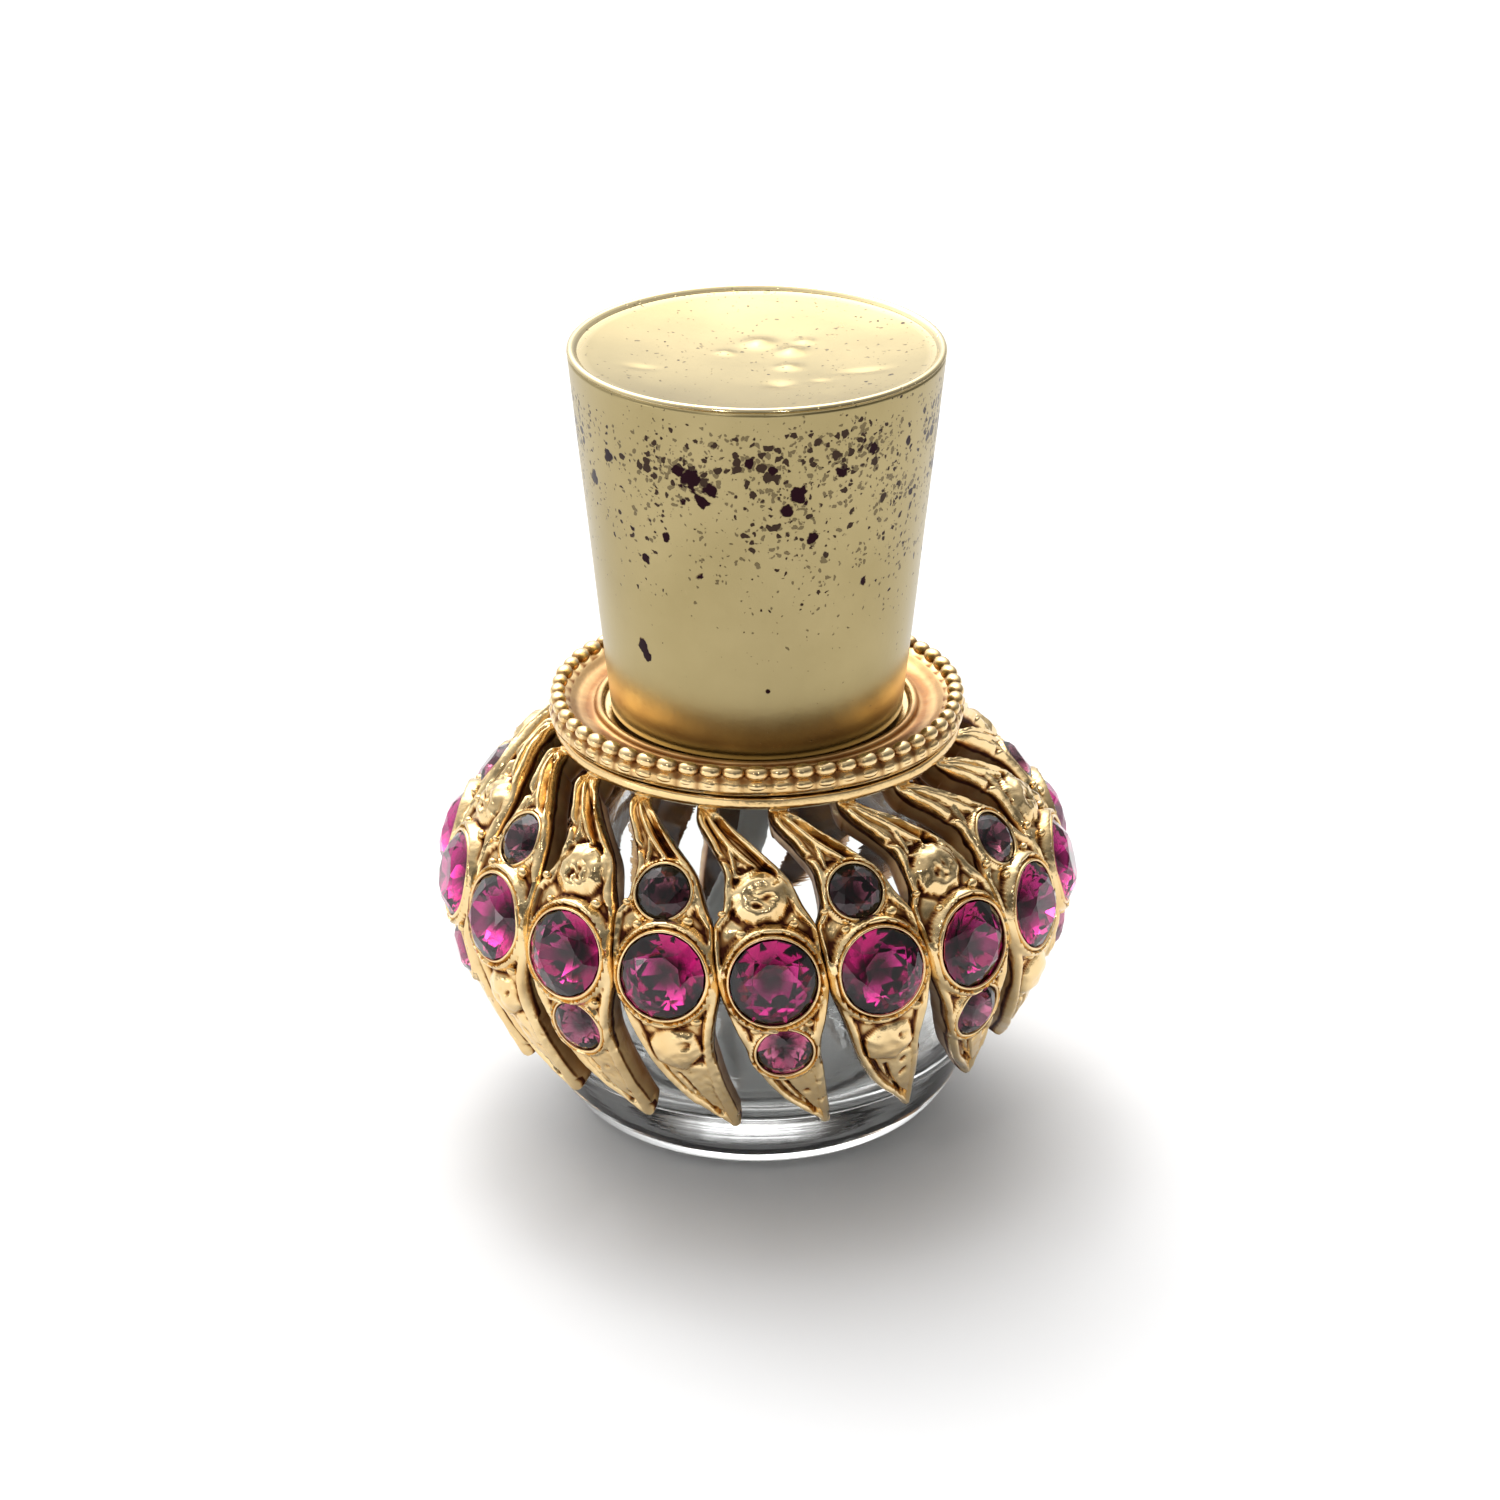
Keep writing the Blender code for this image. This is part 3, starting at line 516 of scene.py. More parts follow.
    def leaf_mesh(self, leaf):
        """One leaf as a closed shell: its worked face, rounded edges, deep side walls and plain back."""
        seed = 100 + leaf * 17
        height = self.relief(leaf, seed)
        # The crevice value browns the face's colour: partly patina in the hollows, partly painted shade.
        dark = self.crevices(height)
        count = len(self.radius)
        rows = np.arange(count)
        depth = LEAF_THICKNESS - (LEAF_THICKNESS - TIP_THICKNESS) * smooth_step(24.0, self.end, self.s[:, 0])
        depth = depth * (0.35 + 0.65 * np.sqrt(np.clip((self.end - self.s[:, 0]) / 0.6, 0.0, 1.0)))
        joined = smooth_step(11.2, 11.8, self.s[:, 0]) * (1.0 - smooth_step(16.4, 17.2, self.s[:, 0]))
        points = [self.point(self.u, rows[:, None] + 0 * self.u.astype(int), height, leaf)]
        shade = [dark]
        shares = np.array([0.12, 0.3, 0.52, 0.75, 0.93, 1.0])
        draft = np.array([0.02, 0.05, 0.09, 0.14, 0.19, 0.32])
        for side in (1, -1):
            order = slice(None) if side == 1 else slice(None, None, -1)
            edge_u = (self.right if side == 1 else self.left)[:, None]
            edge_h = height[:, -1 if side == 1 else 0][:, None]
            inset = np.minimum(draft[None], 0.3 * self.width[:, None])
            wave = 0.05 * lumps(3 * shares[None], self.s[:, :1], 0.0, 1.1, seed + 8)
            u = edge_u - side * (inset + wave * shares[None])
            h = edge_h + (-depth[:, None] - edge_h) * shares[None]
            wall = self.point(u[:, order], rows[:, None] + 0 * u.astype(int), h[:, order], leaf)
            # Painted shade: each side wall darkens the deeper it runs into the gap between leaves, darkest
            # where neighbours join, lighter along its top edge.
            tone = 0.3 + 0.3 * shares[None] + 0.35 * joined[:, None]
            tone = np.where(h > edge_h - 0.12, 0.2, tone)
            points.append(wall)
            shade.append(np.clip(tone, 0.0, 1.0)[:, order])
            if side == 1:
                inner = np.array([0.8, 0.6, 0.4, 0.2])
                lo = self.left + 0.32 * np.minimum(1.0, self.width)
                hi = self.right - 0.32 * np.minimum(1.0, self.width)
                u = lo[:, None] + (hi - lo)[:, None] * inner[None]
                h = -depth[:, None] - 0.1 + 0.05 * lumps(u, self.s[:, :1], 0.0, 1.4, seed + 9)
                points.append(self.point(u, rows[:, None] + 0 * u.astype(int), h, leaf))
                # Painted shade on the hidden back of the leaf.
                shade.append(np.full(u.shape, 0.75))
        points = np.concatenate(points, axis=1)
        mesh = grid_mesh("leaf", points, smooth_angle=75.0)
        return mesh, points.reshape(-1, 3), np.concatenate(shade, axis=1).ravel()


def boss_height(row, x, y, seed):
    """Profile over its seat plane of a boss cast where a stone could have been."""
    turn = np.arctan2(y, x) + 0.2
    flat = math.pi / 4 if row == "upper" else math.pi / 3
    reach = np.hypot(x, y) * (0.35 + 0.65 * np.cos((turn % flat) - flat / 2) / math.cos(flat / 2))
    rough = lumps(x, y, 0 * x, 4.2, seed + 11)
    if row == "upper":
        slope = np.interp(reach, [0.0, 1.1, 1.5, 2.35, 2.6], [0.86, 0.84, 0.78, 0.15, -1.5])
        dent = np.clip(1.0 - np.hypot((x - 0.1) / 1.5, (y + 0.3) / 1.1), 0.0, 0.6)
        fine = lumps(x, y, 0 * x, 7.0, seed + 12)
        return slope - dent * (0.25 + 0.3 * rough + 0.35 * fine) + 0.07 * rough
    slope = np.interp(reach, [0.0, 0.7, 1.4, 1.95, 2.3, 2.5], [0.95, 0.9, 0.7, 0.4, 0.0, -1.5])
    dent = np.clip(0.8 - np.hypot((x - 0.9) / 0.8, (y - 0.7) / 0.6), 0.0, 0.4)
    return slope - dent * (0.5 + 0.5 * rough) * (leaf_roll(seed) > 0.4) + 0.06 * rough


def leaf_roll(seed):
    return random.Random(seed * 3 + 1).random()


MATCHES_PER_MM = 200.0


def set_crevices(mesh, points, shade):
    """Stores the crevice value on the vertices, matched by place."""
    keys = np.round(points * MATCHES_PER_MM).astype(int)
    from_place = dict(zip(map(tuple, keys), shade))
    keys = np.round(point_places(mesh) * MATCHES_PER_MM).astype(int)
    store(mesh, "crevice", [from_place.get(tuple(key), 0.1) for key in keys])


def bezel_mesh(row, leaf, seed):
    """The thin cast lip round a stone, a little uneven."""
    radius = STONE_RADIUS[row]
    profile = [(0.02, -0.9), (0.03, 0.1), (0.05, 0.24), (0.11, 0.32), (0.19, 0.33), (0.28, 0.24),
               (0.36, -0.1), (0.34, -0.9)]
    centre, over, up, normal = seat_axes(SEATS[row], leaf)
    angle = np.linspace(0.0, math.tau, 64, endpoint=False)
    offset, rise = (np.array(column)[:, None] for column in zip(*profile))
    uneven = lumps(4.0 * np.cos(angle), 4.0 * np.sin(angle), 0 * angle, 1.0, seed)
    reach = radius + offset * (1.0 + 0.18 * uneven[None])
    rise = rise + 0.05 * lumps(5.0 * np.cos(angle), 5.0 * np.sin(angle), 0 * angle, 1.0, seed + 1)[None]
    spoke = np.cos(angle)[None, :, None] * over + np.sin(angle)[None, :, None] * up
    rows = centre + reach[..., None] * spoke + rise[..., None] * normal
    return grid_mesh("bezel", rows, wrap_rows=True, smooth_angle=75.0), rows


def bead_mesh(centre, axis, radius, height):
    """A small soft dome of metal that grips a stone."""
    axis = Vector(axis).normalized()
    matrix = Matrix.Translation(Vector(centre) * MM) @ axis.to_track_quat("Z", "Y").to_matrix().to_4x4()
    matrix = matrix @ Matrix.Diagonal((radius * MM, radius * MM * 0.8, height * MM, 1.0))
    bm = bmesh.new()
    bmesh.ops.create_icosphere(bm, subdivisions=3, radius=1.0)
    bmesh.ops.transform(bm, matrix=matrix, verts=bm.verts)
    mesh = bpy.data.meshes.new("bead")
    bm.to_mesh(mesh)
    bm.free()
    return mesh


def mixed(tree, factor, first, second, blend="MIX"):
    """One colour laid over another."""
    inputs = [("Factor", factor), ("A", first), ("B", second)]
    return node(tree, "ShaderNodeMix", inputs, data_type="RGBA", blend_type=blend).outputs["Result"]


def patina_and_shade_group():
    """Old gilding: rich and bright where handled, brown in crevices as patina and painted shade, with faint
    rubbed spots.
    """
    group, given, out = effect_group(
        "patina_and_shade", [("Vector", "vector", None), ("Crevice", "float", 0.0), ("Patina And Shade Strength", "float", 1.0)],
        [("Colour", "colour"), ("Roughness", "float"), ("Height", "float")])
    broad = noise(group, given["Vector"], 260.0, 5.0)
    fine = noise(group, given["Vector"], 1500.0, 4.0)
    uneven = maths(group, "ADD", given["Crevice"], maths(group, "MULTIPLY", broad.outputs[0], 0.45))
    uneven = maths(group, "SUBTRACT", uneven, 0.1)
    depth = maths(group, "MULTIPLY", uneven, given["Patina And Shade Strength"], clamp=True)
    metal = ramp(group, broad.outputs[0], [(0.3, (0.80, 0.57, 0.28)), (0.7, (0.94, 0.76, 0.46))])
    # Patina and painted shade: the crevice value browns the gilding, near black in the deepest hollows.
    patina_and_painted_shade = ramp(group, depth, [(0.0, (1.0, 1.0, 1.0)), (0.3, (0.92, 0.84, 0.70)),
                                (0.62, (0.36, 0.21, 0.11)), (0.95, (0.07, 0.022, 0.02))])
    rough = maths(group, "MULTIPLY_ADD", depth, 0.42, 0.06)
    wear = maths(group, "MULTIPLY", fine.outputs[0], 0.1)
    group.links.new(mixed(group, 1.0, metal, patina_and_painted_shade, "MULTIPLY"), out["Colour"])
    group.links.new(maths(group, "ADD", rough, wear), out["Roughness"])
    group.links.new(maths(group, "ADD", fine.outputs[0], broad.outputs[0]), out["Height"])
    return group


PATINA_AND_SHADE = patina_and_shade_group()


def stored(tree, name):
    """Reads a number that store() kept on the vertices."""
    return node(tree, "ShaderNodeAttribute", attribute_name=name).outputs["Fac"]


def gilt_casting(name, patina_and_shade_strength, bump):
    material, tree, shader = finish(name, (0.8, 0.6, 0.27), 0.25, 1.0)
    inputs = [("Vector", coordinates(tree)), ("Patina And Shade Strength", patina_and_shade_strength), ("Crevice", stored(tree, "crevice"))]
    aged = use_group(tree, PATINA_AND_SHADE, inputs)
    tree.links.new(aged.outputs["Colour"], shader.inputs["Base Color"])
    tree.links.new(aged.outputs["Roughness"], shader.inputs["Roughness"])
    add_bump(tree, shader, aged.outputs["Height"], bump, 0.00015)
    return material


CAGE_GOLD = gilt_casting("antique_gold_casting", 1.0, 0.35)
LEAF = LeafShape()
# Prong beads on a leaf: place across and down the face, and size.
UPPER_BEADS = ((-2.75, 10.4, 0.42), (-1.3, 12.0, 0.5), (2.95, 11.2, 0.5))
LOWER_BEADS = ((0.1, 19.9, 0.5), (4.35, 19.35, 0.5))
# How dark the bezel's profile is, from its inner foot over its lip to its outer foot: partly patina, partly
# painted shade at both feet.
BEZEL_SHADE = np.array([0.9, 0.6, 0.25, 0.05, 0.0, 0.1, 0.3, 0.6])


def cage_leaf(leaf):
    mesh, points, shade = LEAF.leaf_mesh(leaf)
    meshes = [mesh]
    seed = 700 + leaf * 13
    rng = random.Random(seed)
    for row in SEATS:
        if is_stone_seat(row, leaf):
            ring, rows = bezel_mesh(row, leaf, seed + len(row))
            meshes.append(ring)
            level = np.repeat(BEZEL_SHADE[:, None], rows.shape[1], axis=1)
            points = np.concatenate([points, rows.reshape(-1, 3)])
            shade = np.concatenate([shade, level.ravel()])
    for u, s, size in UPPER_BEADS + LOWER_BEADS:
        index = int(np.argmin(abs(LEAF.s[:, 0] - s)))
        u, size = u + rng.uniform(-0.12, 0.12), size * rng.uniform(0.8, 1.15)
        foot = LEAF.point(np.array([u]), np.array([index]), np.array([0.22]), leaf)[0]
        tip = LEAF.point(np.array([u]), np.array([index]), np.array([1.22]), leaf)[0]
        meshes.append(bead_mesh(foot, tip - foot, size, 0.42))
    name = "cage_leaf_%02d" % (leaf + 1)
    whole = joined_mesh(name, meshes)
    set_crevices(whole, points, shade)
    whole.shade_smooth()
    add_piece(name, whole, [CAGE_GOLD], "bottle", ["leaf_cage"])


for number in range(LEAF_COUNT):
    cage_leaf(number)


def cage_ring():
    outline = [(14.7, 35.3), (17.1, 35.1), (17.35, 35.5), (17.2, 36.2), (14.7, 36.2), (14.7, 35.3)]

    def uneven(turn, radius, height):
        return radius + 0.06 * lumps(17 * np.cos(turn), 17 * np.sin(turn), height, 0.8, 5), height

    mesh = turned("cage_ring", eased(outline, 0.25)[:-1], 180, uneven)
    store(mesh, "crevice", np.full(len(mesh.vertices), 0.12))
    add_piece("cage_ring", mesh, [CAGE_GOLD], "bottle", ["leaf_cage"])


cage_ring()


# ---- Stones ----
# The real stones are machine-cut crystal chatons in three reds, mirror-foiled on the back.
# Each sits on its pavilion in a cast well, gripped by the lip and the prong beads.
def brilliant_mesh(name, radius, turn):
    """Round brilliant with a table, stars, kites, girdle and pavilion; faces of slot 1 are foiled."""
    table, star, girdle_top, girdle_base, belly, culet = 0.36, 0.72, 0.07, 0.0, 0.45, -0.6
    table_reach, eighth = 0.54, math.pi / 8
    crown_share = (star * math.cos(eighth) - table_reach) / (1.0 - table_reach)
    belly_height = culet + (girdle_base - culet) * belly * math.cos(eighth)

    def ring(count, reach, height, shift=0.0):
        return [(reach * math.cos(turn + shift + math.tau * i / count),
                 reach * math.sin(turn + shift + math.tau * i / count), height) for i in range(count)]

    points = ring(8, table_reach, table) + ring(8, star, table + (girdle_top - table) * crown_share, eighth)
    points += ring(16, 1.0, girdle_top) + ring(16, 1.0, girdle_base)
    points += ring(8, belly, belly_height, eighth) + [(0.0, 0.0, culet)]
    crown = [tuple(range(8))]
    foiled = []
    for i in range(8):
        after, before = (i + 1) % 8, (i - 1) % 8
        star_now, star_before = 8 + i, 8 + before
        top, middle, top_after = 16 + 2 * i, 16 + 2 * i + 1, 16 + (2 * i + 2) % 16
        crown += [(i, star_now, after), (i, star_before, top, star_now)]
        crown += [(star_now, top, middle), (star_now, middle, top_after)]
        low, low_middle, low_after = top + 16, middle + 16, top_after + 16
        foiled += [(top, low, low_middle, middle), (middle, low_middle, low_after, top_after)]
        belly_now, belly_before = 48 + i, 48 + before
        foiled += [(56, belly_now, low, belly_before)]
        foiled += [(belly_now, low_middle, low), (belly_now, low_after, low_middle)]
    mesh = bpy.data.meshes.new(name)
    mesh.from_pydata([tuple(c * radius for c in p) for p in points], [], crown + foiled)
    for polygon in mesh.polygons[len(crown):]:
        polygon.material_index = 1
    store(mesh, "reach", [math.hypot(x, y) for x, y, z in points])
    return mesh


def crystal(name, glass, foil):
    """A coloured crystal and the foil behind it."""
    body, tree, shader = finish(name, glass, 0.0, Transmission_Weight=1.0, IOR=1.54)
    here = coordinates(tree)
    scuffs = noise(tree, here, 1400.0, 3.0)
    tree.links.new(ramp(tree, scuffs.outputs[0], [(0.5, 0.0), (0.85, 0.1)]), shader.inputs["Roughness"])
    back, tree, shader = finish(name + "_foil", foil, 0.06, 1.0)
    grain = noise(tree, coordinates(tree), 700.0, 3.0)
    uneven = ramp(tree, grain.outputs[0], [(0.3, tuple(0.72 * c for c in foil)), (0.7, foil)])
    # Painted dark reflection: the foil goes near black towards its middle, where a stone shows the dim
    # surroundings it reflects.
    painted_dark_centre = ramp(tree, stored(tree, "reach"), [(0.0, (0.03, 0.02, 0.03)), (0.22, (0.12, 0.06, 0.09)),
                                               (0.5, (0.75, 0.7, 0.75)), (1.0, (1.0, 1.0, 1.0))])
    tree.links.new(mixed(tree, 1.0, uneven, painted_dark_centre, "MULTIPLY"), shader.inputs["Base Color"])
    return body, back


CRYSTALS = {
    "large": crystal("fuchsia_stone", (0.82, 0.10, 0.46), (0.88, 0.34, 0.62)),
    "upper": crystal("plum_stone", (0.48, 0.20, 0.28), (0.48, 0.33, 0.36)),
    "lower": crystal("rose_stone", (0.86, 0.34, 0.52), (0.85, 0.52, 0.64)),
}


def set_stones():
    rng = random.Random(41)
    for row, seat in SEATS.items():
        taken = 0
        for leaf in range(LEAF_COUNT):
            if not is_stone_seat(row, leaf):
                continue
            taken += 1
            centre, over, up, normal = seat_axes(seat, leaf)
            lean = Vector(normal) + Vector(over) * rng.uniform(-0.05, 0.05)
            lean = lean + Vector(up) * rng.uniform(-0.05, 0.05)
            name = "%s_stone_%02d" % (row, taken)
            mesh = brilliant_mesh("crystal_" + name, STONE_RADIUS[row] * MM, rng.uniform(0, math.tau))
            turned_to = lean.to_track_quat("Z", "Y").to_matrix().to_4x4()
            mesh.transform(Matrix.Translation(Vector(centre) * MM) @ turned_to)
            bm = bmesh.new()
            bm.from_mesh(mesh)
            bmesh.ops.recalc_face_normals(bm, faces=bm.faces)
            bm.to_mesh(mesh)
            bm.free()
            mesh.shade_flat()
            add_piece("crystal_" + name, mesh, CRYSTALS[row], "bottle", [name])


set_stones()


# ---- Collar ----
# The real collar is a stamped gilt brass dish with a raised inner lip; two rows of beads are rolled
# into its edge. It lies on the cage's ring and the ferrule clamps it down.
COLLAR_BEADS = 56
# Rows of beads: name, ring radius, height, bead size and how uneven the beads are.
BEAD_ROWS = (("bead_row", 17.02, 38.42, (0.7, 0.98, 0.62), 0.06),
             ("scallop_row", 17.25, 37.45, (0.58, 0.97, 0.46), 0.09))
COLLAR_GOLD = gilt_casting("collar_gold", 0.9, 0.25)


def bead_ring_tree():
    """Geometry nodes: copies of one soft bead round a circle."""
    tree = bpy.data.node_groups.new("bead_ring", "GeometryNodeTree")
    for key, kind, value in (("Beads", "Int", COLLAR_BEADS), ("Ring Radius", "Float", 0.017),
                             ("Height", "Float", 0.038), ("Bead Size", "Vector", (1, 1, 1)),
                             ("Unevenness", "Float", 0.08)):
        tree.interface.new_socket(key, in_out="INPUT", socket_type="NodeSocket" + kind).default_value = value
    tree.interface.new_socket("Gold", in_out="INPUT", socket_type="NodeSocketMaterial")
    tree.interface.new_socket("Geometry", in_out="OUTPUT", socket_type="NodeSocketGeometry")
    given, out = node(tree, "NodeGroupInput").outputs, node(tree, "NodeGroupOutput").inputs
    circle = node(tree, "GeometryNodeMeshCircle", [("Vertices", given["Beads"]),
                                                   ("Radius", given["Ring Radius"])])
    lift = node(tree, "ShaderNodeCombineXYZ", [(2, given["Height"])])
    raised = node(tree, "GeometryNodeTransform", [("Geometry", circle.outputs[0]),
                                                  ("Translation", lift.outputs[0])])
    bead = node(tree, "GeometryNodeMeshIcoSphere", [("Radius", 1.0), ("Subdivisions", 4)])
    place = node(tree, "GeometryNodeInputPosition").outputs[0]
    flat = vector_maths(tree, "MULTIPLY", place, (1.0, 1.0, 0.0))
    face = node(tree, "FunctionNodeAlignRotationToVector", [("Vector", flat)], axis="X")
    jitter = node(tree, "FunctionNodeRandomValue", [("Seed", 3)], data_type="FLOAT")
    low = maths(tree, "SUBTRACT", 1.0, given["Unevenness"])
    tree.links.new(low, jitter.inputs[2])
    tree.links.new(maths(tree, "ADD", 1.0, given["Unevenness"]), jitter.inputs[3])
    size = node(tree, "ShaderNodeVectorMath", [(0, given["Bead Size"])], operation="SCALE")
    tree.links.new(jitter.outputs[1], size.inputs["Scale"])
    copies = node(tree, "GeometryNodeInstanceOnPoints", [
        ("Points", raised.outputs[0]), ("Instance", bead.outputs[0]), ("Rotation", face.outputs[0]),
        ("Scale", size.outputs[0])])
    real = node(tree, "GeometryNodeRealizeInstances", [("Geometry", copies.outputs[0])])
    gilt = node(tree, "GeometryNodeSetMaterial", [("Geometry", real.outputs[0]), ("Material", given["Gold"])])
    tree.links.new(gilt.outputs[0], out["Geometry"])
    return tree


def run_tree(name, tree, **values):
    """Evaluates a geometry tree with the named inputs and returns its mesh."""
    holder = bpy.data.objects.new(name, bpy.data.meshes.new(name))
    bpy.context.scene.collection.objects.link(holder)
    modifier = holder.modifiers.new(name, "NODES")
    modifier.node_group = tree
    names = {item.name: item.identifier for item in tree.interface.items_tree if item.in_out == "INPUT"}
    for key, value in values.items():
        modifier[names[key.replace("_", " ")]] = value
    evaluated = holder.evaluated_get(bpy.context.evaluated_depsgraph_get())
    mesh = bpy.data.meshes.new_from_object(evaluated)
    holder.modifiers.clear()
    bpy.data.objects.remove(holder)
    return mesh


def collar():
    flat = [(7.9, 36.5), (17.4, 36.5), (17.75, 37.0), (17.7, 37.6), (17.3, 38.1), (16.7, 38.35),
            (16.0, 38.0), (15.4, 37.6), (14.4, 37.38), (13.85, 37.42), (13.8, 37.8), (13.5, 37.93),
            (13.15, 37.8), (13.1, 37.2), (7.9, 37.2), (7.9, 36.5)]

    def dented(turn, radius, height):
        soft = lumps(15 * np.cos(turn), 15 * np.sin(turn), height, 0.7, 9)
        marked = 0.05 * soft * (radius > 12.0)
        return radius + marked, height + 0.03 * soft * (height > 37.3)

    meshes = [turned("collar_plate", eased(flat, 0.25)[:-1], 180, dented)]
    tree = bead_ring_tree()
    for name, radius, height, size, unevenness in BEAD_ROWS:
        meshes.append(run_tree(name, tree, Beads=COLLAR_BEADS, Ring_Radius=radius * MM, Height=height * MM,
                               Bead_Size=tuple(width * MM for width in size), Unevenness=unevenness,
                               Gold=COLLAR_GOLD))
    for mesh in meshes:
        mesh.materials.clear()
    whole = joined_mesh("collar", meshes)
    whole.shade_smooth()
    x, y, z = point_places(whole).T
    reach = np.hypot(x, y)
    # Darkening for the collar's colour: painted shade under and beside the cap and in the dish round its
    # foot; partly patina, partly painted shade in the seams between beads and under the upper row.
    lip_foot = 0.6 * (1 - smooth_step(0.2, 1.0, abs(reach - 13.9)))
    inner = lip_foot + 0.75 * (1 - smooth_step(12.2, 13.2, reach))
    pitch = math.tau / COLLAR_BEADS
    between = np.abs((np.arctan2(x, -y) / pitch - COLLAR_BEADS / 4) % 1.0 - 0.5)
    seam = smooth_step(0.3, 0.08, between) * (reach > 16.0) * (z > 37.0)
    low = smooth_step(0.35, 0.05, abs(z - 37.9)) * (reach > 17.0)
    dish = smooth_step(14.0, 14.7, reach) * (1 - smooth_step(15.8, 16.5, reach)) * (z > 37.2)
    level = np.clip(0.8 * inner + 0.42 * dish + 0.45 * seam + 0.3 * low, 0.0, 0.85)
    store(whole, "crevice", level)
    add_piece("beaded_collar", whole, [COLLAR_GOLD], "bottle", ["collar_ring"])


collar()


# ---- Screw ferrule ----
# The real ferrule is drawn aluminium, gold anodised, with a milled grip band and a rolled thread.
# It screws on the glass neck, clamps the collar and holds the pump by its flange.
GRIP_RIBS = 72


def shell_finish(name, colour, roughness, grain):
    """Lightly scratched coated metal."""
    material, tree, shader = finish(name, colour, roughness, 1.0)
    here = coordinates(tree)
    rings = use_group(tree, RIPPLES, [("Vector", here), ("Rings", 6000.0), ("Waviness", 0.6)])
    add_bump(tree, shader, rings.outputs[0], grain, 0.00005)
    blotch = noise(tree, here, 180.0, 4.0)
    deep = tuple(0.82 * c for c in colour)
    tree.links.new(ramp(tree, blotch.outputs[0], [(0.35, deep), (0.65, colour)]), shader.inputs["Base Color"])
    return material


def screw_ferrule():
    profile = eased([(7.75, 37.5), (9.5, 37.5), (9.5, 49.3), (8.9, 49.9), (3.75, 49.9), (3.75, 49.2),
                     (7.75, 49.2), (7.75, 37.5)], 0.35)[:-1]
    fine = []
    for (r0, z0), (r1, z1) in zip(profile, profile[1:] + profile[:1]):
        steps = max(1, int(math.hypot(r1 - r0, z1 - z0) / 0.3))
        fine += [(r0 + (r1 - r0) * i / steps, z0 + (z1 - z0) * i / steps) for i in range(steps)]

    def milled(turn, radius, height):
        band = smooth_step(38.2, 38.6, height) * (1 - smooth_step(44.8, 45.2, height)) * (radius > 9.3)
        ribs = 0.5 + 0.5 * np.cos(GRIP_RIBS * turn)
        inside = (radius < 7.9) & (height < 46.0)
        along = (turn + math.pi / 2) / math.tau % 1.0
        thread = np.zeros_like(radius)
        for lap in range(3):
            middle = THREAD_START - THREAD_PITCH / 2 + THREAD_PITCH * (along + lap)
            ends = np.clip(np.minimum(along + lap - 0.2, THREAD_TURNS - along - lap) / 0.06, 0.0, 1.0)
            thread = np.maximum(thread, ends * np.clip(1.6 - abs(height - middle) / 0.36, 0.0, 1.0))
        return radius - 0.22 * ribs * band - 0.75 * thread * inside, height

    mesh = turned("screw_ferrule", fine, GRIP_RIBS * 6, milled)
    gold = shell_finish("ferrule_gold", (0.80, 0.62, 0.33), 0.26, 0.3)
    add_piece("ferrule_shell", mesh, [gold], "ferrule", ["screw_ferrule"])


screw_ferrule()


# ---- Pump ----
# The real pump is injection moulded: housing, gland, stem and piston, with a wire spring, a steel
# ball and a rubber washer. It hangs through the ferrule's hole and is clamped on the glass lip.
def moulded(name, colour, roughness, clear=0.0, subsurface=0.0):
    """Moulded plastic with a faint orange-peel surface."""
    material, tree, shader = finish(name, colour, roughness, 0.0, Transmission_Weight=clear,
                                    Subsurface_Weight=subsurface, Subsurface_Scale=0.001)
    peel = noise(tree, coordinates(tree), 1100.0, 2.0)
    add_bump(tree, shader, peel.outputs[0], 0.12, 0.00006)
    tree.links.new(ramp(tree, peel.outputs[0], [(0.2, tuple(0.93 * c for c in colour)), (0.8, colour)]),
                   shader.inputs["Base Color"])
    return material


def turned_piece(name, outline, ease, slot, colour, roughness, body, cad_node, **clarity):
    """A moulding turned from its outline, in its own plastic."""
    mesh = turned(name, eased(outline + outline[:1], ease)[:-1], 72)
    add_piece(name, mesh, [moulded(slot, colour, roughness, **clarity)], body, [cad_node])


def pump():
    turned_piece("washer", [(3.7, 46.9), (6.6, 46.9), (6.6, 47.7), (3.7, 47.7)], 0.15,
                 "gasket_rubber", (0.72, 0.72, 0.69), 0.65, "pump_unit", "neck_gasket")
    outline = [(3.4, 48.0), (6.9, 48.0), (6.9, 48.9), (2.75, 48.9), (2.75, 35.8), (0.8, 35.8), (0.8, 35.3),
               (1.3, 35.3), (1.3, 33.0), (0.55, 32.3), (0.55, 31.8), (1.55, 31.8), (1.55, 29.2), (2.3, 29.2),
               (2.3, 32.2), (3.4, 33.2)]
    turned_piece("housing", outline, 0.12, "pump_plastic", (0.80, 0.82, 0.82), 0.3, "pump_unit",
                 "pump_housing", subsurface=0.3)
    outline = [(1.6, 45.9), (2.45, 45.9), (2.45, 49.2), (3.4, 49.2), (3.4, 50.9), (3.1, 51.2), (1.6, 51.2)]
    turned_piece("gland", outline, 0.12, "gland_plastic", (0.86, 0.86, 0.84), 0.35, "pump_unit", "stem_gland")
    outline = [(1.6, 42.6), (2.45, 42.6), (2.45, 43.2), (2.15, 43.6), (2.15, 44.4), (2.45, 44.8),
               (2.45, 45.2), (1.6, 45.2)]
    turned_piece("piston_sleeve", outline, 0.1, "piston_plastic", (0.76, 0.79, 0.82), 0.4, "stem", "piston")
    outline = [(0.5, 41.6), (2.3, 41.6), (2.3, 42.3), (1.3, 42.3), (1.3, 58.1), (0.5, 58.1)]
    turned_piece("hollow_stem", outline, 0.12, "stem_plastic", (0.88, 0.88, 0.86), 0.3, "stem", "pump_stem")


